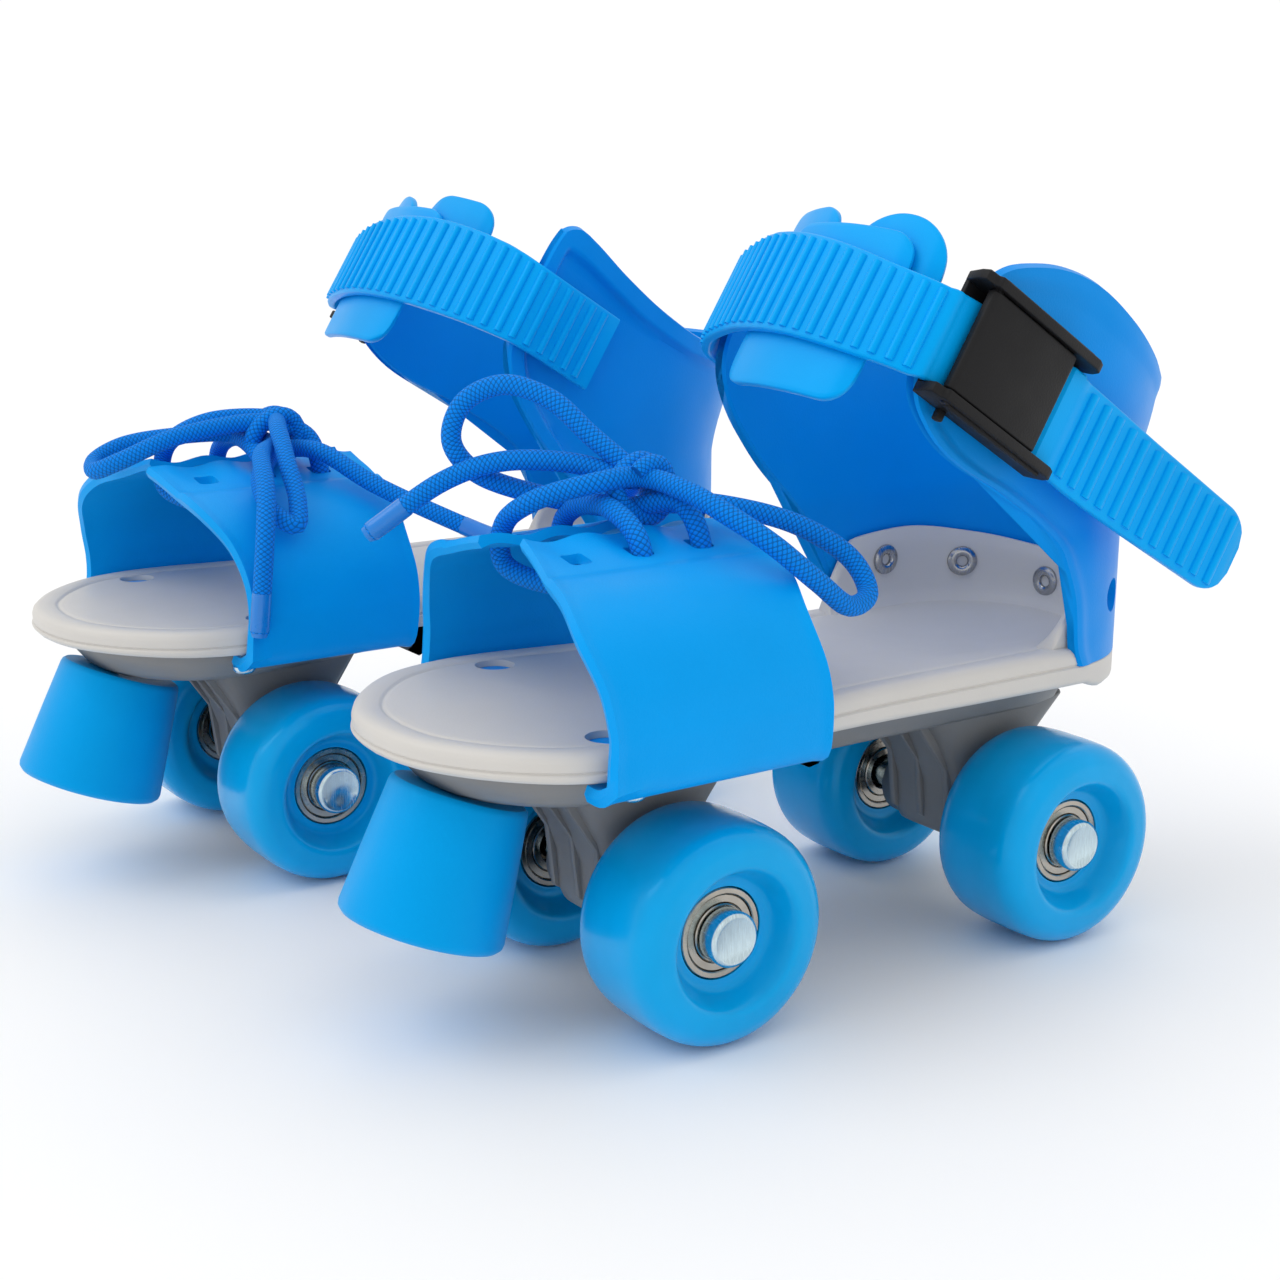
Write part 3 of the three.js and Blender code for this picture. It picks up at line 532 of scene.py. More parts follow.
def bevelled(mesh: bpy.types.Mesh, width: float, segments: int = 3) -> bpy.types.Mesh:
    """Rounds a mesh's sharp edges."""
    settings = {"width": width, "segments": segments, "limit_method": "ANGLE", "angle_limit": math.radians(35)}
    return refined(mesh, ("BEVEL", settings))


def pierced(mesh: bpy.types.Mesh, cutters: Sequence[bpy.types.Mesh]) -> bpy.types.Mesh:
    """Cuts other meshes out of a mesh."""
    for cutter in cutters:
        tool = bpy.data.objects.new("cutter", cutter)
        bpy.context.scene.collection.objects.link(tool)
        mesh = refined(mesh, ("BOOLEAN", {"object": tool, "operation": "DIFFERENCE", "solver": "EXACT"}))
        bpy.data.objects.remove(tool)
    return mesh


def moved(mesh: bpy.types.Mesh, matrix: Matrix) -> bpy.types.Mesh:
    """A copy of a mesh put somewhere else."""
    copy = mesh.copy()
    copy.transform(matrix)
    return copy


def drum(start: Triple, end: Triple, radius: float, segments: int = 32) -> bpy.types.Mesh:
    """A plain cylinder between two points."""
    a, b = Vector(start), Vector(end)
    turn = Vector((1.0, 0.0, 0.0)).rotation_difference(b - a).to_matrix().to_4x4()
    mesh = revolved([(0.0, 0.0), (radius, 0.0), (radius, (b - a).length), (0.0, (b - a).length)], segments)
    return moved(mesh, Matrix.Translation(a) @ turn)


def gathered(meshes: Sequence[bpy.types.Mesh], finishes: Sequence[int]) -> bpy.types.Mesh:
    """Puts several meshes into one, each with its own finish.

    Args:
        meshes: The meshes.
        finishes: For each mesh, its place in the piece's list of finishes.

    Returns:
        One mesh.
    """
    shape = bmesh.new()
    for mesh, finish in zip(meshes, finishes):
        before = len(shape.faces)
        shape.from_mesh(mesh)
        shape.faces.ensure_lookup_table()
        for face in shape.faces[before:]:
            face.material_index = finish
    whole = bpy.data.meshes.new("gathered")
    shape.to_mesh(whole)
    shape.free()
    return whole


def hung(
    name: str,
    mesh: bpy.types.Mesh,
    finishes: Sequence[bpy.types.Material],
    stance: Stance,
    body: str,
    replaces: Sequence[str] = (),
    all_smooth: bool = False,
) -> bpy.types.Object:
    """Puts a finished mesh on a skate.

    Args:
        name: The piece's name, without its side.
        mesh: Its mesh, in the skate's own millimetres.
        finishes: Its materials.
        stance: Where the skate stands.
        body: The body it rides on.
        replaces: The nodes that it stands for, without their side.
        all_smooth: Whether even its sharp edges are shaded smooth.

    Returns:
        The piece's object.
    """
    placed = moved(mesh, stance.matrix)
    if stance.mirror < 0:
        placed.flip_normals()
    placed.name = stance.named(name)
    placed.materials.clear()
    for finish in finishes:
        placed.materials.append(finish)
    placed.shade_smooth()
    if not all_smooth:
        placed.set_sharp_from_angle(angle=SHARP_ANGLE)
    piece = bpy.data.objects.new(stance.named(name) + "_look", placed)
    bpy.context.scene.collection.objects.link(piece)
    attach(piece, body)
    if replaces:
        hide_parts(*[stance.named(node) for node in replaces])
    log.info("%s: %d faces", piece.name, len(placed.polygons))
    return piece


# ---------------------------------------------------------------- repeated details, in geometry nodes


class NodeTree:
    """A geometry-node tree with named sizes, run once over a mesh."""

    def __init__(self, name: str, sizes: Sequence[str]) -> None:
        """Starts a tree that has a mesh input and number inputs.

        Args:
            name: The tree's name.
            sizes: The names of its number inputs.
        """
        self.tree = bpy.data.node_groups.new(name, "GeometryNodeTree")
        face = self.tree.interface
        face.new_socket("Geometry", in_out="INPUT", socket_type="NodeSocketGeometry")
        face.new_socket("Geometry", in_out="OUTPUT", socket_type="NodeSocketGeometry")
        self.keys = {}
        for size in sizes:
            self.keys[size] = face.new_socket(size, in_out="INPUT", socket_type="NodeSocketFloat").identifier
        self.source = self.node("NodeGroupInput")
        self.end = self.node("NodeGroupOutput")

    def node(self, kind: str, **settings: object) -> bpy.types.Node:
        """Adds a node with its properties."""
        made = self.tree.nodes.new(kind)
        for key, value in settings.items():
            setattr(made, key, value)
        return made

    def join(self, output: bpy.types.NodeSocket, target: bpy.types.NodeSocket) -> None:
        """Links one socket to another."""
        self.tree.links.new(output, target)

    def finish(self, instances: bpy.types.NodeSocket, material: bpy.types.Material) -> None:
        """Ends the tree in real geometry with its material."""
        realise = self.node("GeometryNodeRealizeInstances")
        paint = self.node("GeometryNodeSetMaterial")
        paint.inputs["Material"].default_value = material
        self.join(instances, realise.inputs["Geometry"])
        self.join(realise.outputs["Geometry"], paint.inputs["Geometry"])
        self.join(paint.outputs["Geometry"], self.end.inputs["Geometry"])

    def run(self, guide: bpy.types.Mesh, sizes: dict[str, float]) -> bpy.types.Mesh:
        """Runs the tree over a guide mesh.

        Args:
            guide: The mesh that the details follow.
            sizes: A value for each named size.

        Returns:
            The details, as a plain mesh.
        """
        blank = bpy.data.objects.new("guide", guide)
        bpy.context.scene.collection.objects.link(blank)
        modifier = blank.modifiers.new("details", "NODES")
        modifier.node_group = self.tree
        for size, value in sizes.items():
            modifier[self.keys[size]] = value
        depsgraph = bpy.context.evaluated_depsgraph_get()
        made = bpy.data.meshes.new_from_object(blank.evaluated_get(depsgraph))
        bpy.data.objects.remove(blank)
        return made


def wire(points: Sequence[Vector], spans: Sequence[float]) -> bpy.types.Mesh:
    """A line of edges through points that carry a span each."""
    mesh = bpy.data.meshes.new("wire")
    mesh.from_pydata([tuple(p) for p in points], [(i, i + 1) for i in range(len(points) - 1)], [])
    mesh.attributes.new("span", "FLOAT", "POINT").data.foreach_set("value", list(spans))
    return mesh


def rib_tree(material: bpy.types.Material) -> NodeTree:
    """Round bars laid across a line at even steps, each standing along z."""
    tree = NodeTree("cross_ribs", ("Pitch", "Radius", "Spread"))
    line = tree.node("GeometryNodeMeshToCurve")
    steps = tree.node("GeometryNodeCurveToPoints", mode="LENGTH")
    bar = tree.node("GeometryNodeMeshCylinder", fill_type="TRIANGLE_FAN")
    bar.inputs["Vertices"].default_value = 12
    bar.inputs["Depth"].default_value = 1.0
    span = tree.node("GeometryNodeInputNamedAttribute", data_type="FLOAT")
    span.inputs["Name"].default_value = "span"
    scale = tree.node("ShaderNodeCombineXYZ")
    scale.inputs["Y"].default_value = 1.0
    turn = tree.node("FunctionNodeAxesToRotation", primary_axis="Z", secondary_axis="X")
    turn.inputs["Primary Axis"].default_value = (0.0, 0.0, 1.0)
    place = tree.node("GeometryNodeInstanceOnPoints")
    source = tree.source.outputs
    tree.join(source["Geometry"], line.inputs["Mesh"])
    tree.join(line.outputs["Curve"], steps.inputs["Curve"])
    tree.join(source["Pitch"], steps.inputs["Length"])
    tree.join(source["Radius"], bar.inputs["Radius"])
    tree.join(source["Spread"], scale.inputs["X"])
    tree.join(span.outputs["Attribute"], scale.inputs["Z"])
    tree.join(steps.outputs["Tangent"], turn.inputs["Secondary Axis"])
    tree.join(steps.outputs["Points"], place.inputs["Points"])
    tree.join(bar.outputs["Mesh"], place.inputs["Instance"])
    tree.join(turn.outputs["Rotation"], place.inputs["Rotation"])
    tree.join(scale.outputs["Vector"], place.inputs["Scale"])
    tree.finish(place.outputs["Instances"], material)
    return tree


def fastener_tree(template: bpy.types.Object, material: bpy.types.Material) -> NodeTree:
    """A copy of a fastener at every point of the guide, aimed along the point's aim attribute."""
    tree = NodeTree("fasteners", ("Scale",))
    shape = tree.node("GeometryNodeObjectInfo", transform_space="ORIGINAL")
    shape.inputs["Object"].default_value = template
    aim = tree.node("GeometryNodeInputNamedAttribute", data_type="FLOAT_VECTOR")
    aim.inputs["Name"].default_value = "aim"
    turn = tree.node("FunctionNodeAlignRotationToVector", axis="X")
    points = tree.node("GeometryNodeMeshToPoints")
    place = tree.node("GeometryNodeInstanceOnPoints")
    tree.join(tree.source.outputs["Geometry"], points.inputs["Mesh"])
    tree.join(points.outputs["Points"], place.inputs["Points"])
    tree.join(shape.outputs["Geometry"], place.inputs["Instance"])
    tree.join(aim.outputs["Attribute"], turn.inputs["Vector"])
    tree.join(turn.outputs["Rotation"], place.inputs["Rotation"])
    tree.join(tree.source.outputs["Scale"], place.inputs["Scale"])
    tree.finish(place.outputs["Instances"], material)
    return tree


def scattered(
    template: bpy.types.Mesh,
    spots: Sequence[tuple[Triple, Triple]],
    material: bpy.types.Material,
) -> bpy.types.Mesh:
    """Copies one fastener to several spots.

    Args:
        template: The fastener, pointing along x.
        spots: Each spot's place and the way that its fastener points.
        material: The fasteners' finish.

    Returns:
        One mesh that holds them all.
    """
    guide = bpy.data.meshes.new("spots")
    guide.from_pydata([spot for spot, _ in spots], [], [])
    aims = guide.attributes.new("aim", "FLOAT_VECTOR", "POINT")
    for i, (_, aim) in enumerate(spots):
        aims.data[i].vector = aim
    holder = bpy.data.objects.new("fastener", template)
    bpy.context.scene.collection.objects.link(holder)
    made = fastener_tree(holder, material).run(guide, {"Scale": 1.0})
    bpy.data.objects.remove(holder)
    return made


# ---------------------------------------------------------------- wheels


@dataclass
class WheelSet:
    """A skate's four wheels with their bearings, and its two axles."""

    finishes: Finishes
    radius: float = 27.0
    width: float = 30.0
    track: float = 71.0
    wheelbase: float = 112.0
    seat: float = 11.3
    face: float = 8.0
    axle: float = 4.0
    head: float = 6.7
    head_length: float = 5.4

    def tyre(self) -> bpy.types.Mesh:
        """A wheel: crowned tread, round shoulders and a conical dish on each side."""
        r, half = self.radius, self.width / 2
        side = [
            (self.seat, self.face - 0.6), (self.seat, self.face), (12.6, self.face + 0.1),
            (13.8, self.face + 0.6), (15.2, self.face + 3.0), (16.4, half - 1.5), (17.1, half - 0.5),
            (18.0, half), (20.4, half - 0.1), (22.4, half - 0.4), (24.2, half - 1.3), (25.6, half - 2.8),
            (26.5, half - 4.8), (r - 0.15, half - 7.5), (r, half - 11.0), (r, 0.0),
        ]
        outer = [(p.x, p.y) for p in spline(side, 3)]
        inner = [(radius, -along) for radius, along in reversed(outer[:-1])]
        return revolved([*outer, *inner], 72)

    def bearings(self) -> bpy.types.Mesh:
        """Both ball bearings of a wheel with their shields, and the sleeve between them."""
        rings = []
        marks = []
        for way in (-1, 1):
            for low, high, depth, mark in ((9.4, 11.0, 0.0, 0), (7.2, 9.3, 0.45, 1), (5.0, 7.1, 0.05, 2)):
                near, far = way * (self.face - depth), way * (self.face - 6.4)
                edge = way * 0.25
                ring = [
                    (low, far), (low, near - edge), (low + 0.25, near), (high - 0.25, near),
                    (high, near - edge), (high, far),
                ]
                rings.append(revolved(ring, 48))
                marks.append(mark)
        rings.append(revolved([(4.6, -1.5), (6.4, -1.5), (6.4, 1.5), (4.6, 1.5)], 32))
        marks.append(0)
        return gathered(rings, marks)

    def shaft(self) -> bpy.types.Mesh:
        """An axle with a chamfered, slightly dished head pressed on each end."""
        start = self.track / 2 + self.face + 0.4
        end = start + self.head_length
        r = self.head
        half = [
            (self.axle, 0.0), (self.axle, start), (r - 0.5, start), (r, start + 0.4), (r, end - 1.0),
            (r - 0.35, end - 0.35), (r - 1.0, end), (r - 1.5, end - 0.12), (r - 1.8, end - 0.35), (0.0, end - 0.35),
        ]
        mirrored = [(radius, -along) for radius, along in reversed(half[1:])]
        return revolved([*mirrored, *half[1:]], 40)

    def build(self, stance: Stance) -> None:
        """Hangs the wheels, bearings and axles on a skate."""
        tyre, bearings, shaft = self.tyre(), self.bearings(), self.shaft()
        for end, y in (("front", -self.wheelbase / 2), ("rear", self.wheelbase / 2)):
            spot = Matrix.Translation((0.0, y, self.radius))
            hung(f"{end}_axle", moved(shaft, spot), [self.finishes.zinc], stance, stance.body, [f"{end}_axle"])
            for place, x in (("outer", self.track / 2), ("inner", -self.track / 2)):
                spot = Matrix.Translation((x, y, self.radius))
                body = stance.named(f"wheel_{end}_{place}")
                name = f"{end}_{place}"
                wheel = moved(tyre, spot)
                hung(f"{name}_wheel", wheel, [self.finishes.wheel], stance, body, [f"{name}_wheel"])
                metals = [self.finishes.steel, self.finishes.shield, self.finishes.sleeve]
                hung(f"{name}_bearings", moved(bearings, spot), metals, stance, body, [f"{name}_bearings"])


# ---------------------------------------------------------------- footplate and trucks


@dataclass
class Footplate:
    """The grey sole with its rolled edge, toe holes and the wall round the heel."""

    finishes: Finishes
    top: float = 75.95
    toe: float = 121.5
    ball: float = 47.0
    waist: float = 38.5
    heel_y: float = 61.0
    heel: float = 38.0
    wall_outer: float = 34.6
    wall_thickness: float = 2.8

    def outline(self, steps: int = 6) -> list[Vector]:
        """The sole's edge in plan, anticlockwise from the toe's tip."""
        ball, tip = self.ball, -self.toe
        side = spline(
            [
                (0, tip), (0.2 * ball, tip + 0.9), (0.4 * ball, tip + 3.8), (0.68 * ball, tip + 12.5),
                (0.9 * ball, tip + 25), (0.99 * ball, tip + 38), (ball, tip + 53), (0.93 * ball, tip + 74),
                (self.waist + 1.5, -26), (self.waist, -6), ((self.waist + self.heel) / 2, 28),
                (self.heel, self.heel_y),
            ],
            steps,
        )
        arc = []
        for i in range(1, 19):
            angle = math.pi / 2 * i / 18
            arc.append(Vector((self.heel * math.cos(angle), self.heel_y + self.heel * math.sin(angle), 0)))
        right = [*side, *arc]
        left = [Vector((-p.x, p.y, 0)) for p in reversed(right[1:-1])]
        return [*right, *left]

    def inset(self, outline: Sequence[Vector], depth: float) -> list[Vector]:
        """An outline drawn in by a depth."""
        count = len(outline)
        drawn = []
        for i, p in enumerate(outline):
            along = outline[(i + 1) % count] - outline[i - 1]
            inward = Vector((-along.y, along.x, 0)).normalized()
            drawn.append(p + inward * depth)
        return drawn

    def underside(self, y: float) -> float:
        """The height of the edge's bottom at a place along the sole."""
        slope = Graph([(-122, 69.8), (-60, 68.6), (0, 67.2), (60, 66.4), (100, 66.2)])
        return slope(y) - 2.2 * smoothstep(y, 66, 74)

    def dish(self, p: Vector) -> float:
        """How far the top is sunk under the foot at a place."""
        return 2.6 * math.exp(-((p.x / 25) ** 2 + ((p.y - 56) / 30) ** 2))

    def sole(self) -> bpy.types.Mesh:
        """The sole as rings from the underside, round the rolled edge, to its middle."""
        outline = self.outline()
        edge = [
            (7.0, None, 69.2), (5.2, None, 69.0), (4.4, 1.0, None), (3.4, 0.2, None), (2.2, 0.0, None),
            (0.9, 0.3, None), (0.15, 1.1, None), (0.0, 2.0, None), (0.0, None, 71.4), (0.25, None, 71.7),
            (0.6, None, 71.85), (0.6, None, 72.1), (0.3, None, 72.4), (0.25, None, 74.0), (0.6, None, 75.2),
            (1.4, None, 76.0), (2.6, None, 76.4), (4.4, None, 76.4), (6.4, None, 76.2), (7.0, None, 75.95),
            (7.3, None, 75.7), (7.7, None, 75.65), (8.1, None, 75.85), (8.8, None, 75.95), (10.5, None, 75.95),
        ]
        rings = []
        for depth, lift, height in edge:
            ring = []
            for p in self.inset(outline, depth):
                z = height if height is not None else min(self.underside(p.y) + lift, 71.2)
                ring.append((p.x, p.y, z))
            rings.append(ring)
        inner = self.inset(outline, 10.5)
        for share in (0.12, 0.3, 0.5, 0.7, 0.86, 1.0):
            ring = []
            for p in inner:
                spine = Vector((0, min(max(p.y, -84.0), 58.0), 0))
                q = p.lerp(spine, share)
                ring.append((q.x, q.y, self.top - self.dish(q) * smoothstep(share, 0.0, 0.5)))
            rings.append(ring)
        low = [self.inset(outline, 7.0)]
        spine = [(0, min(max(p.y, -84.0), 58.0), 69.2) for p in low[0]]
        mesh = lofted([spine, *rings])
        return pierced(mesh, [drum((x, y, 60), (x, y, 90), 5.0, 48) for x, y in ((-34, -70), (34, -81))])

    def wall(self) -> bpy.types.Mesh:
        """The grey wall round the heel, high on the inner side and low towards the buckle side."""
        crest = Graph([(-1.0, 73.0), (-0.97, 80.0), (-0.9, 91.0), (-0.8, 96.4), (-0.6, 97.4), (-0.35, 95.4), (0.0, 92.2),
                       (0.3, 91.2), (0.62, 90.4), (0.8, 88.2), (0.92, 82.0), (1.0, 73.2)])
        steps, rows = 72, 12
        quarter = math.pi / 2 * self.wall_outer
        inner_run, outer_run = self.heel_y - 34.0, self.heel_y - 55.0
        outside, inside = [], []
        for i in range(steps + 1):
            t = -1 + 2 * i / steps
            run = (inner_run if t < 0 else outer_run) + quarter
            along = abs(t) * run
            sign = -1 if t < 0 else 1
            top = crest(t)
            for radius, columns in ((self.wall_outer, outside), (self.wall_outer - self.wall_thickness, inside)):
                column = []
                for k in range(rows + 1):
                    z = 72.0 + (top - 72.0) * k / rows
                    fillet = 5.0 * math.exp(-max(z - 75.0, 0) / 2.6) if columns is inside else 0.0
                    rim = 0.9 * smoothstep(k / rows, 0.86, 1.0) * (1 if columns is inside else -1)
                    r = radius - fillet + rim
                    if along < quarter:
                        angle = along / self.wall_outer
                        column.append((sign * r * math.sin(angle), self.heel_y + r * math.cos(angle), z))
                    else:
                        column.append((sign * r, self.heel_y - (along - quarter), z))
                columns.append(column)
        rings = [[*inner, *reversed(outer)] for inner, outer in zip(inside, outside)]
        return lofted(rings)

    def rivet(self) -> bpy.types.Mesh:
        """A hollow rivet along x: a rolled flange and its open barrel."""
        profile = [
            (1.5, -5.0), (1.5, 0.6), (1.8, 1.0), (2.4, 1.25), (3.4, 1.2), (4.1, 0.8), (4.3, 0.25), (4.2, -0.1),
            (2.2, -0.1), (2.2, -5.0),
        ]
        barrel = revolved(profile, 36)
        plug = revolved([(0.0, -2.2), (1.55, -2.2), (1.55, -1.6), (0.8, -1.2), (0.0, -1.1)], 24)
        return gathered([barrel, plug], [0, 0])

    def build(self, stance: Stance) -> None:
        """Hangs the footplate and its rivets on a skate."""
        plate = gathered([self.sole(), self.wall()], [0, 1])
        greys = [self.finishes.sole, self.finishes.wall]
        hung("footplate", plate, greys, stance, stance.body, ["footplate"])
        template = self.rivet()
        inner = self.wall_outer - self.wall_thickness
        for name, angle, along, z in (
            ("heel_rivet_side", 0, -4, 89), ("heel_rivet_corner", 38, 0, 87), ("heel_rivet_back", 84, 0, 83.5),
        ):
            turn = math.radians(angle)
            way = Vector((-math.cos(turn), math.sin(turn), 0))
            foot = Vector((0, self.heel_y + along, z))
            spots = [
                (tuple(foot + way * (inner - 0.1)), tuple(-way)),
                (tuple(foot + way * (self.heel + 0.3)), tuple(way)),
            ]
            made = scattered(template, spots, self.finishes.rivet)
            hung(name, made, [self.finishes.rivet], stance, stance.body, [name])


@dataclass
class Chassis:
    """The trucks under the sole and the toe stop, which also stands in for its bolt."""

    finishes: Finishes
    sole: Footplate
    lean: float = math.radians(20)
    stop_foot: Triple = (0.0, -111.0, 25.5)

    def tray(self, start: float, end: float, bottom: float) -> bpy.types.Mesh:
        """A tapered tray under the sole between two places along y."""
        outline = [p for p in self.sole.outline(3)]
        rings = []
        for depth, z in ((17.0, bottom), (13.5, bottom + 2.0), (9.5, 66.0), (9.0, 68.7)):
            ring = []
            for p in self.sole.inset(outline, depth):
                ring.append((p.x, min(max(p.y, start), end), z))
            rings.append(ring)
        return bevelled(lofted(rings), 0.8)

    def hanger(self, y: float, top: float) -> bpy.types.Mesh:
        """The pedestal from the tray down past the axle, waisted and rounded."""
        levels = [
            (top + 1.5, 21.0, 25.0), (50.0, 18.5, 18.5), (42.0, 16.5, 14.0), (34.0, 14.6, 11.5), (24.0, 14.0, 10.6),
            (19.5, 13.0, 8.6),
        ]
        rings = []
        for z, half_x, half_y in levels:
            ring = []
            for k in range(32):
                angle = 2 * math.pi * k / 32
                c, s = math.cos(angle), math.sin(angle)
                power = 0.35
                across = half_x * math.copysign(abs(c) ** power, c)
                along = half_y * math.copysign(abs(s) ** power, s)
                ring.append((across, y + along, z))
            rings.append(ring)
        return bevelled(lofted(rings), 0.9)

    def gussets(self, y: float, top: float) -> bpy.types.Mesh:
        """Thin ribs down the sides of a hanger, from the tray to the axle's boss."""
        ribs = []
        for way in (-1, 1):
            for x in (-11.0, 0.0, 11.0):
                outline = [
                    (y + way * 8, 22.0), (y + way * 11.5, 24.0), (y + way * 13.5, 40.0), (y + way * 27.0, top + 1),
                    (y + way * 8, top + 1),
                ]
                rib = prism([(u, v) for u, v in outline], x - 1.1, x + 1.1)
                stand = Matrix(((0, 0, 1, 0), (1, 0, 0, 0), (0, 1, 0, 0), (0, 0, 0, 1)))
                ribs.append(bevelled(moved(rib, stand), 0.5, 2))
        return gathered(ribs, [0] * len(ribs))

    def boss(self, y: float) -> bpy.types.Mesh:
        """The round boss that the axle passes through."""
        profile = [
            (5.0, -19.4), (8.2, -19.4), (8.8, -18.6), (9.2, -12.0), (9.2, 12.0), (8.8, 18.6), (8.2, 19.4), (5.0, 19.4),
        ]
        return moved(revolved(profile, 40), Matrix.Translation((0, y, 27.0)))

    def stop(self) -> bpy.types.Mesh:
        """The toe stop: a round-edged frustum, wider at its foot."""
        profile = [
            (0.0, 0.0), (17.4, 0.0), (18.9, 0.35), (19.8, 1.3), (20.0, 2.4), (18.4, 18.0), (16.8, 32.4),
            (16.5, 33.4), (15.8, 34.0), (0.0, 34.0),
        ]
        up = Matrix.Rotation(math.pi / 2 - self.lean, 4, "X") @ Matrix.Rotation(math.pi / 2, 4, "Z")
        return moved(revolved(profile, 96), Matrix.Translation(self.stop_foot) @ up)

    def build(self, stance: Stance) -> None:
        """Hangs the trucks and the toe stop on a skate."""
        finish = [self.finishes.chassis]
        for name, y, start, end, bottom in (
            ("front_truck", -56.0, -130.0, -26.0, 59.0), ("rear_truck", 56.0, -20.0, 71.6, 57.0),
        ):
            body = [self.tray(start, end, bottom), self.hanger(y, bottom), self.gussets(y, bottom), self.boss(y)]
            hung(name, gathered(body, [0] * len(body)), finish, stance, stance.body, [name])
        stop = self.stop()
        hung("toe_stop", stop, [self.finishes.stop], stance, stance.body, ["toe_stop", "toe_stop_bolt"])


# ---------------------------------------------------------------- toe straps


@dataclass
class ToeStrap:
    """The two laced bands over the toes."""

    finishes: Finishes
    thickness: float = 2.6
    slot_x: float = 16.0
    slots: Sequence[float] = (-77.5, -60.5, -43.5)

    def path(self) -> list[Vector]:
        """The band's middle line in (x, z), from its tab under the sole to the lacing edge."""
        side = 47.0 + 1.0 + self.thickness / 2
        corners = spline([(side - 8, 67.3), (side - 3.2, 67.3), (side - 0.8, 68.6), (side, 72.6), (side + 0.4, 80)], 5)
        crown = spline([(side + 0.4, 80), (side - 1, 90), (side - 6, 99), (side - 15, 106), (side - 28, 110), (10, 112.8), (5, 114)], 8)
        return resampled([*corners, *crown[1:]], 56)

    def band(self, sign: int) -> bpy.types.Mesh:
        """One band as a curved sheet with rounded rims.

        Args:
            sign: 1 for the outer band and -1 for the inner one.

        Returns:
            The band's mesh.
        """
        if sign > 0:
            front = Graph([(64, -91.5), (72, -90.5), (80, -90), (90, -91.5), (101, -93.5), (108, -91), (111, -88), (114, -85)])
            back = Graph([(64, -31), (82, -31.5), (99, -34), (106, -31.5), (114, -28)])
        else:
            front = Graph([(64, -83), (72, -81.5), (84, -80.5), (98, -83), (108, -88), (114, -90)])
            back = Graph([(64, -33), (72, -31.5), (84, -31), (98, -32), (108, -30), (114, -28)])
        path = self.path()
        columns = 44
        outside, inside = [], []
        for i, p in enumerate(path):
            a, b = path[max(i - 1, 0)], path[min(i + 1, len(path) - 1)]
            along = (b - a).normalized()
            out = Vector((along.y, -along.x, 0))
            share = i / (len(path) - 1)
            for k in range(columns + 1):
                across = k / columns
                ease = 0.5 - 0.5 * math.cos(math.pi * across)
                spread = 0.35 * ease + 0.65 * across
                y = front(p.y) + (back(p.y) - front(p.y)) * spread
                rim = min(across, 1 - across) * 60
                roll = 0.45 * math.exp(-((rim / 2.2) ** 2))
                ledge = 0.8 * smoothstep(p.x, 24.0, 25.6)
                flap = smoothstep(23.0 - p.x, 0.0, 14.0)
                pucker = -1.1 * flap * math.cos((y - self.slots[1]) * 2 * math.pi / 17.0)
                lip = 1.6 * smoothstep(0.3 - across, 0.0, 0.3) * (1 - smoothstep(p.y, 68, 76)) * (1 if share > 0.1 else 0)
                thin = self.thickness / 2
                for reach, sheet in ((thin + roll + ledge + pucker * 0.6, outside), (-thin + 0.2 - roll * 0.4 + pucker * 0.6, inside)):
                    q = p + out * (reach + lip * (1 if sheet is outside else 0.6))
                    sheet.append((sign * q.x, y, q.y))
        count = columns + 1
        rings = []
        for i in range(len(path)):
            upper = outside[i * count : (i + 1) * count]
            lower = inside[i * count : (i + 1) * count]
            ends = []
            for high, low, way in ((upper[-1], lower[-1], 1.0), (upper[0], lower[0], -1.0)):
                ends.append(tuple((high[c] + low[c]) / 2 + (0.7 * way if c == 1 else 0) for c in range(3)))
            rings.append([*upper, ends[0], *reversed(lower), ends[1]])
        mesh = lofted(rings)
        cutters = []
        for y in self.slots:
            cutters.append(bevelled(prism(
                [(sign * self.slot_x - 3.0, y - 2.9), (sign * self.slot_x + 3.0, y - 2.9),
                 (sign * self.slot_x + 3.0, y + 2.9), (sign * self.slot_x - 3.0, y + 2.9)], 95, 125), 1.2, 3))
        tabs = [drum((x, y, 69.0), (x, y, 74.3), 4.9) for x, y in ((-34, -70), (34, -81)) if x * sign > 0]
        return gathered([pierced(mesh, cutters), *tabs], [0, 0])

    def bolt(self, sign: int) -> bpy.types.Mesh:
        """The round-headed bolt that holds a band's tab."""
        head = [(0.0, 0.0), (1.6, 0.12), (2.6, 0.6), (3.2, 1.4), (3.2, 2.3), (1.6, 2.3), (1.6, 9.0), (0.0, 9.0)]
        up = Matrix.Rotation(-math.pi / 2, 4, "Y")
        return moved(revolved(head, 32), Matrix.Translation((sign * 42.5, -80.0, 63.2)) @ up)

    def build(self, stance: Stance) -> None:
        """Hangs both bands and their bolts on a skate."""
        for place, sign in (("outer", 1), ("inner", -1)):
            finish = [self.finishes.band]
            band, bolt = f"toe_strap_{place}", f"strap_bolt_{place}"
            hung(band, self.band(sign), finish, stance, stance.body, [band])
            hung(bolt, self.bolt(sign), [self.finishes.zinc], stance, stance.body, [bolt])


# ---------------------------------------------------------------- heel shell


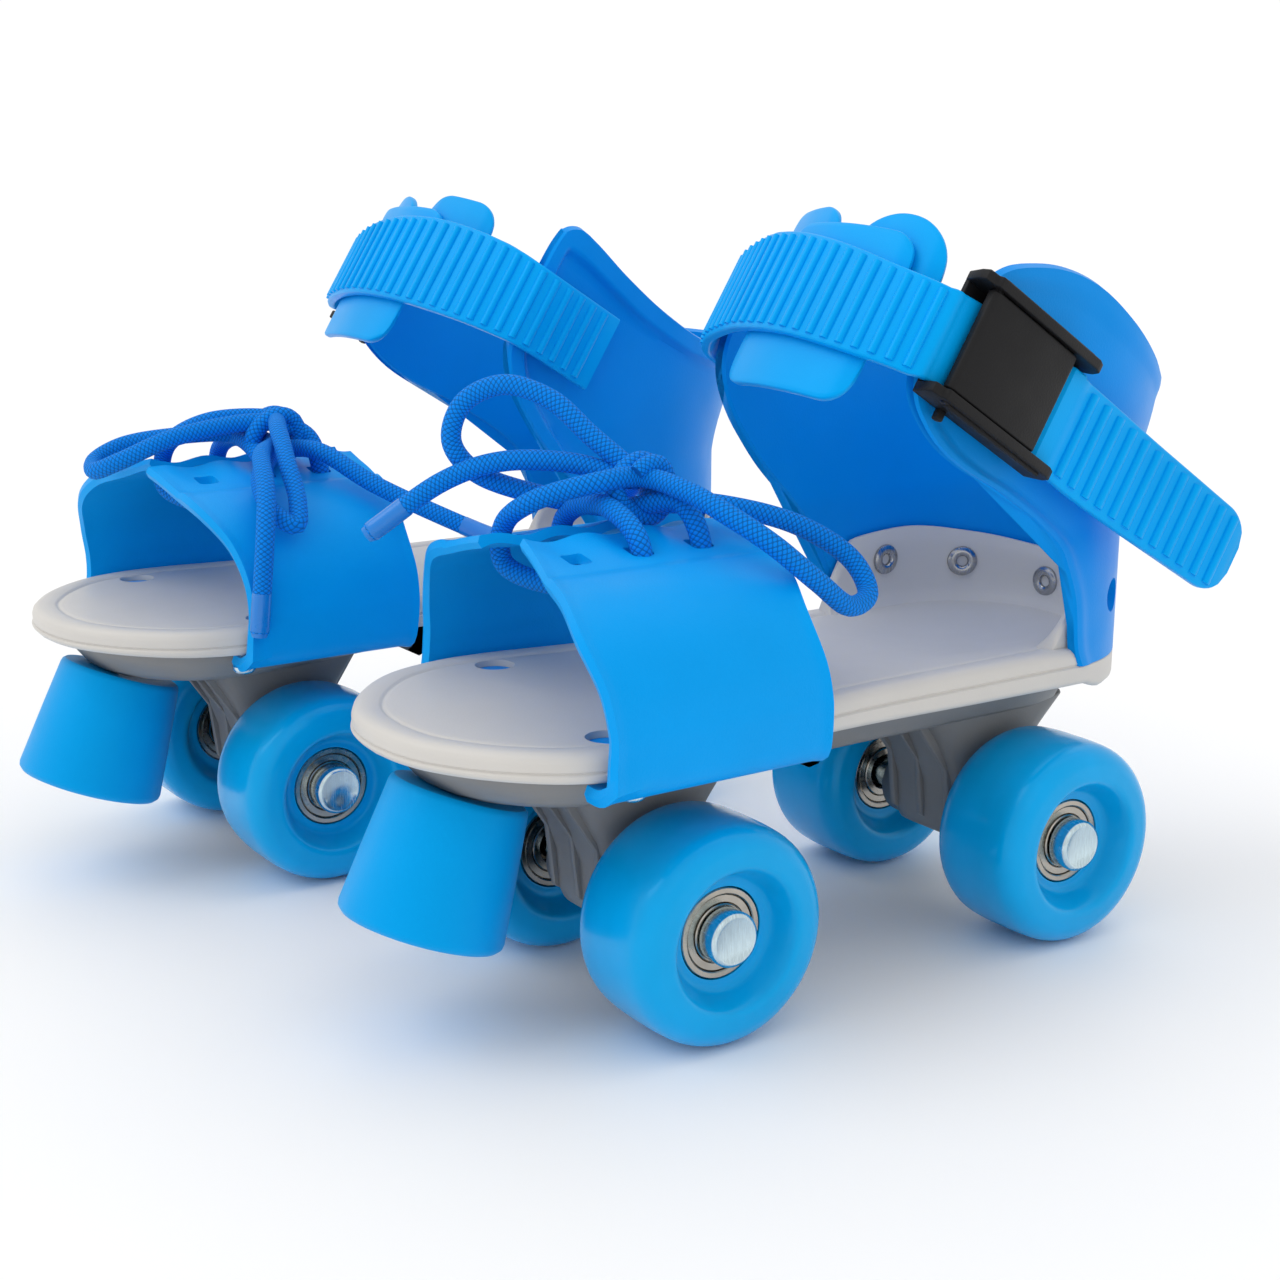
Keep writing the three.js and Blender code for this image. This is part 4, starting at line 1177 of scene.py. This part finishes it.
@dataclass
class HeelShell:
    """The blue shell round the heel and ankle, with rolled rims and a sunken side panel."""

    finishes: Finishes
    radius: float = 38.0
    thickness: float = 3.0
    centre_y: float = 61.0
    bottom: float = 71.8
    flare: float = 5.5
    flare_start: float = 108.0
    crown: float = 182.0
    bulge: float = 8.0
    inner_front: Graph = field(default_factory=lambda: Graph([
        (71.8, 45), (78, 43.5), (86, 41), (95, 36.5), (103, 31), (118, 17.5), (126, 12), (132, 8.5), (140, 5.5), (146, 5),
        (152, 6.5), (162, 12), (170, 16.5), (176, 20.5), (180, 24)]))
    inner_top: Graph = field(default_factory=lambda: Graph([
        (19, 176), (23, 179), (28, 179.2), (33, 175.6), (44, 165.5), (60, 153), (74, 145), (86, 142), (112, 142)]))
    outer_front: Graph = field(default_factory=lambda: Graph([
        (71.8, 64), (76, 62), (90, 60), (98, 57), (105, 53), (120, 32), (128, 17), (134, 8.5), (140, 3), (146, -0.5),
        (152, -1), (158, 3), (164, 9), (170, 15.5), (175, 22)]))
    outer_top: Graph = field(default_factory=lambda: Graph([
        (15, 169), (20, 172.6), (26, 174.6), (34, 175), (44, 174), (56, 170), (70, 161), (84, 151), (94, 144.5), (112, 142)]))

    def half_width(self, z: float) -> float:
        """The shell's outer half width at a height."""
        share = min(max((z - self.flare_start) / (self.crown - self.flare_start), 0.0), 1.0)
        return self.radius + self.flare * math.sin(share * math.pi / 2)

    def back_bulge(self, z: float) -> float:
        """How far the back stands out past a round end at a height."""
        return self.bulge * smoothstep(z, self.flare_start, self.flare_start + 32)

    def reach(self, sign: int, z: float) -> float:
        """The length of one side in plan, from the middle of the back to the front edge."""
        front = (self.outer_front if sign > 0 else self.inner_front)(z)
        quarter = math.pi / 2 * (self.half_width(z) + self.back_bulge(z) / 2)
        return quarter + self.centre_y - front

    def spot(self, sign: int, t: float, z: float) -> Vector:
        """A point of the outer surface.

        Args:
            sign: 1 for the buckle side and -1 for the inner side.
            t: How far round it is, from 0 at the back to 1 at the front edge.
            z: Its height.

        Returns:
            The point.
        """
        width, bulge = self.half_width(z), self.back_bulge(z)
        quarter = math.pi / 2 * (width + bulge / 2)
        along = t * self.reach(sign, z)
        if along < quarter:
            angle = math.pi / 2 * along / quarter
            return Vector((sign * width * math.sin(angle), self.centre_y + (width + bulge) * math.cos(angle), z))
        return Vector((sign * width, self.centre_y - (along - quarter), z))

    def rim_height(self, sign: int, t: float) -> float:
        """The height of the top edge at a place round the shell."""
        top = self.outer_top if sign > 0 else self.inner_top
        z = 150.0
        for _ in range(14):
            z = 0.5 * z + 0.5 * top(self.spot(sign, t, z).y)
        return z

    def relief(self, sign: int, t: float, z: float, top: float) -> float:
        """How far the outer face stands out from the plain shell: the rims and the panel's edge."""
        to_front = (1 - t) * self.reach(sign, z)
        to_top = (top - z) * 0.86
        near = min(to_front, to_top)
        if sign > 0:
            return 0.7 * (1 - smoothstep(near, 1.5, 5.5))
        upper = smoothstep(z, 92, 106)
        roll = 1.5 * (1 - smoothstep(near, 4.0, 5.6))
        sink = -0.7 * smoothstep(near, 5.0, 6.2) * (1 - smoothstep(near, 7.0, 30.0)) * upper
        return roll * (0.35 + 0.65 * upper) + sink

    def surface(self) -> bpy.types.Mesh:
        """The whole shell as one closed body."""
        fine = [0.945 + 0.055 * k / 10 for k in range(11)]
        shares = [0.945 * k / 44 for k in range(44)] + fine
        stations = [(-1, t) for t in reversed(shares)] + [(1, t) for t in shares[1:]]
        rows = [0.93 * k / 50 for k in range(50)] + [0.93 + 0.07 * k / 12 for k in range(13)]
        outer, bare = [], []
        for sign, t in stations:
            top = self.rim_height(sign, t)
            outer_column, bare_column = [], []
            for v in rows:
                z = self.bottom + (top - self.bottom) * v
                p = self.spot(sign, t, z)
                down = self.spot(sign, t, z - 0.5)
                step = 0.004
                ahead = self.spot(sign, min(t + step, 1.0), z)
                behind = self.spot(sign, max(t - step, 0.0), z)
                tangent = (ahead - behind) * sign
                if t < step:
                    tangent = Vector((1.0, 0.0, 0.0))
                normal = tangent.cross(p - down).normalized()
                if normal.dot(Vector((p.x, p.y - 40, 0))) < 0:
                    normal.negate()
                outer_column.append(p + normal * self.relief(sign, t, z, top))
                bare_column.append(p - normal * self.thickness)
            outer.append(outer_column)
            bare.append(bare_column)
        rings = []
        for outer_column, bare_column in zip(outer, bare):
            crest = (outer_column[-1] + bare_column[-1]) / 2 + Vector((0, 0, 0.9))
            rings.append([*outer_column, crest, *reversed(bare_column)])
        ends = []
        for ring in (rings[0], rings[-1]):
            middle = []
            for k, p in enumerate(ring):
                opposite = ring[len(ring) - 1 - k]
                middle.append((p * 0.82 + opposite * 0.18) + Vector((0, -0.75, 0)))
            ends.append(middle)
        return lofted([ends[0], *rings, ends[1]])

    def build(self, stance: Stance) -> None:
        """Hangs the shell on a skate."""
        angle = math.radians(29)
        way = Vector((math.cos(angle), math.sin(angle), 0))
        foot = Vector((0, self.centre_y, 88))
        hole = drum(tuple(foot + way * (self.radius - 7)), tuple(foot + way * (self.radius + 5)), 4.5, 40)
        shell = pierced(self.surface(), [hole])
        hung("heel_shell", shell, [self.finishes.shell], stance, stance.body, ["heel_shell"])


# ---------------------------------------------------------------- ankle strap, pads and buckle


@dataclass
class Cuff:
    """The ribbed strap over the ankle with its pads and buckle, in the cuff's tilted frame.

    Its own axes are x, s back and down along the buckle, and n up across the strap.
    """

    finishes: Finishes
    tilt: float = math.radians(32)
    height: float = 150.0
    thickness: float = 2.6
    low: float = 0.5
    width: float = 23.0
    side_x: float = 47.8
    pin_s: float = 1.2
    rail_gap: float = 1.6
    rail: float = 2.6
    front_low: Graph = field(default_factory=lambda: Graph([
        (-48, 0.5), (-20, 0.3), (10, -0.5), (30, -1.6), (47, -2.0)]))
    front_high: Graph = field(default_factory=lambda: Graph([
        (-48, 23.5), (-38, 26.0), (-20, 27.5), (0, 26.5), (20, 24.0), (36, 21.5), (47, 20.5)]))
    tail_low: Graph = field(default_factory=lambda: Graph([
        (-8, -2.0), (-4, -1.0), (0, -0.8), (40, -0.8), (46, -1.8), (112, -1.8)]))
    tail_high: Graph = field(default_factory=lambda: Graph([
        (-8, 20.5), (10, 22.5), (40, 24.0), (75, 22.5), (112, 20.5)]))

    @property
    def matrix(self) -> Matrix:
        """Takes the cuff's own axes to the skate's."""
        return Matrix.Translation((0, 0, self.height)) @ Matrix.Rotation(-self.tilt, 4, "X")

    def path(self) -> list[Vector]:
        """The strap's middle line in (x, s)."""
        x = self.side_x
        points = [
            (-x + 0.4, 31), (-x + 0.4, 18), (-x + 0.8, 9), (-x + 2.6, 3.5), (-x + 7.3, -1), (-0.71 * x, -5.8),
            (-0.46 * x, -11.5), (-0.21 * x, -16), (0.06 * x, -18.4), (0.29 * x, -18.6), (0.52 * x, -17),
            (0.72 * x, -14.2), (x - 5.8, -10.8), (x - 1, -7), (x, -2), (x, 4), (x, 25), (x, 46), (x + 1.5, 70),
            (x + 4, 94), (x + 6, 112),
        ]
        return resampled(spline(points, 8), 220)

    def section(self, p: Vector, out: Vector, half: float, low: float, high: float, lift: float) -> list[Vector]:
        """A rounded rectangle across the strap at one place along it."""
        corner = min(0.7, half * 0.9, (high - low) * 0.4)
        ring = []
        for centre_w, centre_n, start in (
            (half + lift - corner, high - corner, 0), (-half + corner, high - corner, 90),
            (-half + corner, low + corner, 180), (half + lift - corner, low + corner, 270),
        ):
            for k in range(4):
                angle = math.radians(start + 30 * k)
                w = centre_w + corner * math.cos(angle)
                n = centre_n + corner * math.sin(angle)
                ring.append(Vector((p.x + out.x * w, p.y + out.y * w, n)))
        return ring

    def outward(self, line: Sequence[Vector], i: int) -> Vector:
        """The direction away from the ankle at a place along a line."""
        along = (line[min(i + 1, len(line) - 1)] - line[max(i - 1, 0)]).normalized()
        return Vector((along.y, -along.x, 0))

    def edges(self, p: Vector) -> Pair:
        """The strap's lower and upper edge at a place of its path: broad in front and narrow at the buckle."""
        if p.x > 40 and p.y > -8:
            return self.tail_low(p.y), self.tail_high(p.y)
        return self.front_low(p.x), self.front_high(p.x)

    def strap(self) -> bpy.types.Mesh:
        """The strap: ribbed round the front, plain through the buckle, ribbed again to its round tail."""
        path = self.path()
        total = line_length(path)
        step = total / (len(path) - 1)
        rings = []
        for i, p in enumerate(path):
            left = total - i * step
            tail = min(left / 8.0, 1.0)
            narrow = 1 - 0.62 * (1 - math.sqrt(max(1 - (1 - tail) ** 2, 0.0)))
            low, high = self.edges(p)
            middle, reach = (low + high) / 2, (high - low) / 2 * narrow
            collar = 0.7 * (p.x > 30) * smoothstep(p.y, -7.4, -7.0) * (1 - smoothstep(p.y, -4.6, -4.2))
            sill = 1.8 * (p.x > 40) * smoothstep(p.y, 34.0, 34.5) * (1 - smoothstep(p.y, 40.0, 40.5))
            step_down = 0.5 * (p.x > 40) * smoothstep(p.y, 40.5, 41.0) * (1 - smoothstep(p.y, 43.0, 43.5))
            out = self.outward(path, i)
            lift = collar + sill + step_down
            rings.append(self.section(p, out, self.thickness / 2, middle - reach, middle + reach, lift))
        body = lofted(rings)
        ribs = rib_tree(self.finishes.strap)
        pieces = [body]
        for keep, pitch, radius, spread, inset in (
            (lambda q: q.x < 42 or q.y < -8.2, 4.5, 1.1, 1.05, 1.3),
            (lambda q: q.x > 40 and 46 < q.y < 107.5, 5.4, 1.15, 1.2, 1.8),
        ):
            run, spans = [], []
            for i, p in enumerate(path):
                if i > 4 and keep(p):
                    low, high = self.edges(p)
                    face = self.outward(path, i) * (self.thickness / 2 - 0.1)
                    run.append(p + face + Vector((0, 0, (low + high) / 2)))
                    spans.append(high - low - 2 * inset)
            sizes = {"Pitch": pitch, "Radius": radius, "Spread": spread}
            pieces.append(ribs.run(wire(run, spans), sizes))
        return gathered(pieces, [0] * len(pieces))

    def pad(self, start: float, end: float, depth: float, low: float, high: float, corner: float) -> bpy.types.Mesh:
        """A rounded pad that lies inside the strap.

        Args:
            start: The x that it starts at.
            end: The x that it ends at.
            depth: How far its middle lies inside the strap's middle.
            low: Its lowest place across the strap.
            high: Its highest place across the strap.
            corner: The radius of its corners.

        Returns:
            The pad's mesh.
        """
        path = self.path()
        run = []
        for i, p in enumerate(path):
            if p.y < 14:
                run.append(p - self.outward(path, i) * depth)
        run = [p for p in run if start < p.x < end]
        run = resampled(run, 40)
        total = line_length(run)
        rings = []
        for i, p in enumerate(run):
            near = min(i, len(run) - 1 - i) * total / (len(run) - 1)
            share = min(near / corner, 1.0)
            cut = corner * (1 - math.sqrt(max(1 - (1 - share) ** 2, 0.0)))
            puff = 1.2 * smoothstep(near, 0.0, 5.0)
            ring = self.section(p, self.outward(run, i), 0.6 + puff * 0.5, low + cut * 0.98, high - cut * 0.98, 0.0)
            rings.append(ring)
        return refined(lofted(rings), ("SUBSURF", {"levels": 1, "render_levels": 1}))

    def frame_of_buckle(self) -> bpy.types.Mesh:
        """The buckle's base with its two rails, their stubs and its cross bar."""
        bottom = self.side_x - self.thickness / 2 - 0.4 - 1.5
        reach = self.rail_gap + self.rail
        rail_low, rail_high = self.low - reach, self.low + self.width + reach
        base = prism([(bottom, -3), (bottom + 1.5, -3), (bottom + 1.5, 41), (bottom, 41)], rail_low, rail_high)
        parts = [bevelled(base, 0.4)]
        top = bottom + 10
        for low in (rail_low, rail_high - self.rail):
            outline = [
                (bottom, -3), (top - 4.5, -4.5), (top - 1.6, -4.5), (top - 1.2, -1.5), (top, -1.0), (top, 38),
                (top - 1.2, 40.4), (top - 4.0, 41.4), (bottom, 41),
            ]
            parts.append(bevelled(prism(outline, low, low + self.rail), 0.45))
        for low in (rail_low - 0.8, rail_high - 0.6):
            outline = [(top - 3.4, 1.5), (top - 1.6, 1.5), (top - 1.6, 37), (top - 3.4, 37)]
            parts.append(bevelled(prism(outline, low, low + 1.4), 0.4, 2))
        outline = [(bottom + 0.2, 5.5), (bottom + 2.6, 5.5), (bottom + 2.6, 7.5), (bottom + 0.2, 7.5)]
        bar = prism(outline, rail_low - 2.6, rail_low + 0.4)
        parts.append(bevelled(bar, 0.5))
        return gathered(parts, [0] * len(parts))

    def lid(self) -> bpy.types.Mesh:
        """The lid over the strap: a bevelled front edge and a soft-cornered rear end."""
        pin_x = self.side_x - self.thickness / 2 - 0.4 - 1.5 + 7.4
        front, inner = self.pin_s - 2.2, pin_x - 1.7
        low, high = self.low - self.rail_gap + 0.4, self.low + self.width + self.rail_gap - 0.4
        outline = [
            (inner + 0.4, front + 0.4), (inner, front + 1.8), (inner + 0.2, front + 31.0), (inner + 1.4, front + 33.0),
            (inner + 2.8, front + 32.9), (inner + 3.5, front + 31.6), (inner + 3.4, front + 1.8), (inner + 2.6, front + 0.4),
        ]
        return bevelled(prism(outline, low, high), 0.6, 4)

    def pin(self) -> bpy.types.Mesh:
        """The lid's pin, with a round end proud of each rail."""
        pin_x = self.side_x - self.thickness / 2 - 0.4 - 1.5 + 7.4
        low, high = self.low - 4.6, self.low + self.width + 4.6
        profile = [(0.0, low), (0.9, low), (1.2, low + 0.3), (1.2, high - 0.3), (0.9, high), (0.0, high)]
        stand = Matrix.Translation((pin_x, self.pin_s, 0)) @ Matrix.Rotation(-math.pi / 2, 4, "Y")
        return moved(revolved(profile, 24), stand)

    def build(self, stance: Stance) -> None:
        """Hangs the strap, pads and buckle on a skate."""
        look = self.finishes
        main, lid_body = stance.body, stance.named("buckle_lid")
        strap = moved(self.strap(), self.matrix)
        hung("ankle_strap", strap, [look.strap], stance, main, ["ankle_strap"])
        front = self.pad(-9, 35, 3.0, -13.5, 31.0, 8.0)
        hung("tongue_pad", moved(front, self.matrix), [look.strap], stance, main, ["tongue_pad"])
        ears = [self.pad(12, 40.5, 6.0, 2.0, 37.0, 14.0), self.pad(-22, 6, 6.0, 8.0, 37.5, 9.0)]
        ears = moved(gathered(ears, [0, 0]), self.matrix)
        hung("instep_pad", ears, [look.strap], stance, main, ["instep_pad"])
        buckle = moved(self.frame_of_buckle(), self.matrix)
        hung("buckle_frame", buckle, [look.buckle], stance, main, ["buckle_frame"])
        lid = moved(self.lid(), self.matrix)
        hung("buckle_lever", lid, [look.buckle], stance, lid_body, ["buckle_lever"])
        hung("buckle_pin", moved(self.pin(), self.matrix), [look.pin], stance, main, ["buckle_pin"])


# ---------------------------------------------------------------- laces

LEFT_LACE: list[Triple] = [
    (-45, -98, 111), (-34, -83, 124), (-24, -73, 129), (-12, -60, 129), (0, -50, 126),
    (-10, -57, 136), (-18, -63, 144), (-27, -71, 147), (-34, -78, 142), (-36, -80, 133),
    (-33, -76, 126), (-22, -66, 121), (-2, -52, 119),
    (10, -45, 121.5), (16, -43.5, 115), (16, -43.5, 106), (0, -52, 102), (-16, -60.5, 106),
    (-16, -60.5, 115), (0, -60.5, 121), (16, -60.5, 115), (16, -60.5, 106), (0, -69, 102),
    (-16, -77.5, 106), (-16, -77.5, 115), (-8, -75, 121.5), (2, -63, 126.5), (3, -51, 127),
    (16, -47, 125), (28, -44, 121), (37, -38, 115), (41, -28, 106), (40, -17, 98.5),
    (37, -9, 100), (31, -9, 107), (24, -20, 115.5), (14, -36, 120.5), (3, -47, 121),
    (-10, -40, 125), (-36, -31, 114),
]

RIGHT_LACE: list[Triple] = [
    (-54, -80, 77), (-53.5, -77, 103), (-46, -73, 113), (-30, -67, 120), (-10, -55, 120),
    (1, -60, 122), (13, -75, 121), (20, -88, 118.5), (20, -96, 115), (13, -99, 113),
    (5, -94, 116.5), (-2, -80, 123), (-8, -55, 126),
    (-12, -45, 122), (-16, -43.5, 115), (-16, -43.5, 106), (0, -52, 102), (16, -60.5, 106),
    (16, -60.5, 115), (0, -60.5, 121), (-16, -60.5, 115), (-16, -60.5, 106), (0, -69, 102),
    (16, -77.5, 106), (16, -77.5, 115), (9, -76, 121.5), (1, -68, 126.5), (-7, -54, 127),
    (-22, -58, 125), (-36, -62, 118), (-46, -64, 109.5), (-51, -67, 104), (-46, -71, 107),
    (-33, -69, 113.5), (-20, -60, 118), (-9, -52, 118),
    (-24, -47, 119), (-40, -38, 111), (-64, -20, 100), (-70, -16, 98),
]


@dataclass
class Lace:
    """A braided lace, threaded through the toe strap and tied in a bow."""

    finishes: Finishes
    route: Sequence[Triple]
    knot: Triple
    radius: float = 2.5
    sides: int = 16
    strand_pitch: float = 1.25

    def line(self) -> list[Vector]:
        """The lace's middle line."""
        smooth = spline(self.route, 10)
        return resampled(smooth, int(line_length(smooth) / 1.2))

    def tube(self, line: Sequence[Vector], radius: Callable[[float], float], closed: bool = False) -> bpy.types.Mesh:
        """A round tube along a line, with its UV once round and along in strands.

        Args:
            line: The tube's middle line.
            radius: Its radius at each share of its length.
            closed: Whether its end joins its start.

        Returns:
            The tube's mesh, with closed ends.
        """
        count = len(line)
        tangents = []
        for i in range(count):
            before = line[i - 1] if closed or i else line[0]
            after = line[(i + 1) % count] if closed or i < count - 1 else line[-1]
            tangents.append((after - before).normalized())
        normal = tangents[0].orthogonal().normalized()
        shape = bmesh.new()
        layer = shape.loops.layers.uv.new("UVMap")
        rings, lengths, walked = [], [], 0.0
        for i, p in enumerate(line):
            if i:
                walked += (p - line[i - 1]).length
            normal = (normal - tangents[i] * normal.dot(tangents[i])).normalized()
            side = tangents[i].cross(normal)
            r = radius(i / (count - 1))
            ring = []
            for k in range(self.sides):
                angle = 2 * math.pi * k / self.sides
                ring.append(shape.verts.new(p + (normal * math.cos(angle) + side * math.sin(angle)) * r))
            rings.append(ring)
            lengths.append(walked / self.strand_pitch)
        spans = list(zip(rings, rings[1:], lengths, lengths[1:]))
        if closed:
            spans.append((rings[-1], rings[0], lengths[-1], lengths[-1] + 1))
        for below, above, low, high in spans:
            for k in range(self.sides):
                j = (k + 1) % self.sides
                face = shape.faces.new((below[k], below[j], above[j], above[k]))
                corners = ((k, low), (k + 1, low), (k + 1, high), (k, high))
                for loop, (u, v) in zip(face.loops, corners):
                    loop[layer].uv = (u / self.sides, v)
        if not closed:
            shape.faces.new(reversed(rings[0]))
            shape.faces.new(rings[-1])
        bmesh.ops.recalc_face_normals(shape, faces=shape.faces)
        mesh = bpy.data.meshes.new("tube")
        shape.to_mesh(mesh)
        shape.free()
        return mesh

    def knot_wrap(self) -> bpy.types.Mesh:
        """The strand that wraps the knot, as a leaning coil of a turn and a half."""
        centre = Vector(self.knot)
        coil = []
        for k in range(34):
            turn = k / 33
            angle = math.radians(-40 + 520 * turn)
            coil.append(centre + Vector((
                -3.4 + 6.8 * turn,
                6.6 * math.cos(angle),
                6.4 * math.sin(angle) + 0.8 * math.sin(angle * 2),
            )))
        return self.tube(
            resampled(coil, 60), lambda share: self.radius * (0.7 + 0.3 * math.sin(math.pi * share) ** 0.3))

    def tip(self, line: Sequence[Vector]) -> bpy.types.Mesh:
        """The sealed tip over a lace's end."""
        sleeve = [p for p in line[:10]]
        start = sleeve[0] - (sleeve[1] - sleeve[0]).normalized() * 1.2
        return self.tube(
            resampled([start, *sleeve], 14), lambda share: self.radius * (0.8 + 0.24 * smoothstep(share, 0.0, 0.16)))

    def build(self, stance: Stance) -> None:
        line = self.line()
        body = stance.body
        wrap = hung("lace_knot", self.knot_wrap(), [self.finishes.lace], stance, body)
        for name, end in (("first", line), ("last", list(reversed(line)))):
            hung(f"lace_tip_{name}", self.tip(end), [self.finishes.tip], stance, body)
        lace = hung("lace", self.tube(line, lambda share: self.radius), [self.finishes.lace], stance, body,
                    ["lace"])


# ---------------------------------------------------------------- studio


@dataclass
class Studio:
    """The camera, the floor and the lights."""

    anchor: Vector
    camera_place: Triple = (382.6, -311.0, 202.1)
    azimuth: float = math.radians(55.6)
    elevation: float = math.radians(14.0)
    roll: float = math.radians(0.19)
    lens: float = 55.49
    sky: float = 0.88
    backdrop: float = 1.02

    def camera(self) -> None:
        """Sets up the camera."""
        data = bpy.data.cameras.new("camera")
        data.lens = self.lens
        data.sensor_width = 36.0
        data.clip_start = 0.01
        data.clip_end = 20.0
        camera = bpy.data.objects.new("camera", data)
        bpy.context.scene.collection.objects.link(camera)
        az, el = self.azimuth, self.elevation
        back = Vector((math.sin(az) * math.cos(el), -math.cos(az) * math.cos(el), math.sin(el)))
        right = Vector((math.cos(az), math.sin(az), 0.0))
        up = back.cross(right)
        turn = Matrix((right, up, back)).transposed() @ Matrix.Rotation(self.roll, 3, "Z")
        camera.matrix_world = Matrix.Translation(self.anchor + Vector(self.camera_place) * MM) @ turn.to_4x4()
        bpy.context.scene.camera = camera

    def lamp(self, name: str, towards: Triple, spread: float, strength: float) -> None:
        """Adds a soft light from far away.

        Args:
            name: The light's name.
            towards: The direction that it shines from.
            spread: The angle that it fills.
            strength: Its strength in watts a square metre.
        """
        data = bpy.data.lights.new(name, "SUN")
        data.angle = spread
        data.energy = strength
        light = bpy.data.objects.new(name, data)
        bpy.context.scene.collection.objects.link(light)
        light.matrix_world = Vector(towards).to_track_quat("Z", "Y").to_matrix().to_4x4()

    def floor(self) -> None:
        """Lays the plain pale floor."""
        mesh = bpy.data.meshes.new("floor")
        reach = 9.0
        corners = [(-reach, -reach, 0), (reach, -reach, 0), (reach, reach, 0), (-reach, reach, 0)]
        mesh.from_pydata(corners, [], [(0, 1, 2, 3)])
        recipe = Recipe("floor_paint")
        pale = recipe.noise(recipe.places(), 3.0, 2.0)
        recipe.join(recipe.tint(pale, (0.965, 0.963, 0.962), (0.975, 0.973, 0.972)), recipe.shader.inputs["Base Color"])
        recipe.shader.inputs["Roughness"].default_value = 0.55
        mesh.materials.append(recipe.material)
        floor = bpy.data.objects.new("floor", mesh)
        bpy.context.scene.collection.objects.link(floor)

    def light(self) -> None:
        """Sets the world and the lamps."""
        scene = bpy.context.scene
        scene.view_settings.view_transform = "Standard"
        world = bpy.data.worlds.new("studio")
        world.use_nodes = True
        nodes, links = world.node_tree.nodes, world.node_tree.links
        sky = nodes["Background"]
        sky.inputs["Color"].default_value = (1.0, 0.997, 0.99, 1.0)
        path = nodes.new("ShaderNodeLightPath")
        strength = nodes.new("ShaderNodeMapRange")
        strength.inputs["To Min"].default_value = self.sky
        strength.inputs["To Max"].default_value = self.backdrop
        links.new(path.outputs["Is Camera Ray"], strength.inputs["Value"])
        links.new(strength.outputs["Result"], sky.inputs["Strength"])
        scene.world = world
        self.lamp("key", (-0.35, -0.75, 1.0), math.radians(40), 0.62)
        self.lamp("side", (0.9, -0.45, 0.75), math.radians(30), 0.05)
        self.lamp("overhead", (-0.2, 0.35, 1.0), math.radians(60), 0.22)

    def build(self) -> None:
        """Sets up the whole studio."""
        self.camera()
        self.floor()
        self.light()
        log.info("studio ready")


# ---------------------------------------------------------------- the pair


def main() -> None:
    """Builds the studio, the laces and then each skate from its wheels up."""
    logging.basicConfig(level=logging.INFO, format="%(message)s")
    finishes = Finishes()
    stances = {side: Stance.of(side) for side in Side}
    Studio(stances[Side.LEFT].origin).build()
    Lace(finishes, LEFT_LACE, (1, -50, 123.5)).build(stances[Side.LEFT])
    Lace(finishes, RIGHT_LACE, (-8.5, -53.5, 121.5)).build(stances[Side.RIGHT])
    footplate = Footplate(finishes)
    for stance in stances.values():
        WheelSet(finishes).build(stance)
        footplate.build(stance)
        Chassis(finishes, footplate).build(stance)
        ToeStrap(finishes).build(stance)
        HeelShell(finishes).build(stance)
        Cuff(finishes).build(stance)
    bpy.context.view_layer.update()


if __name__ == "__main__":
    main()
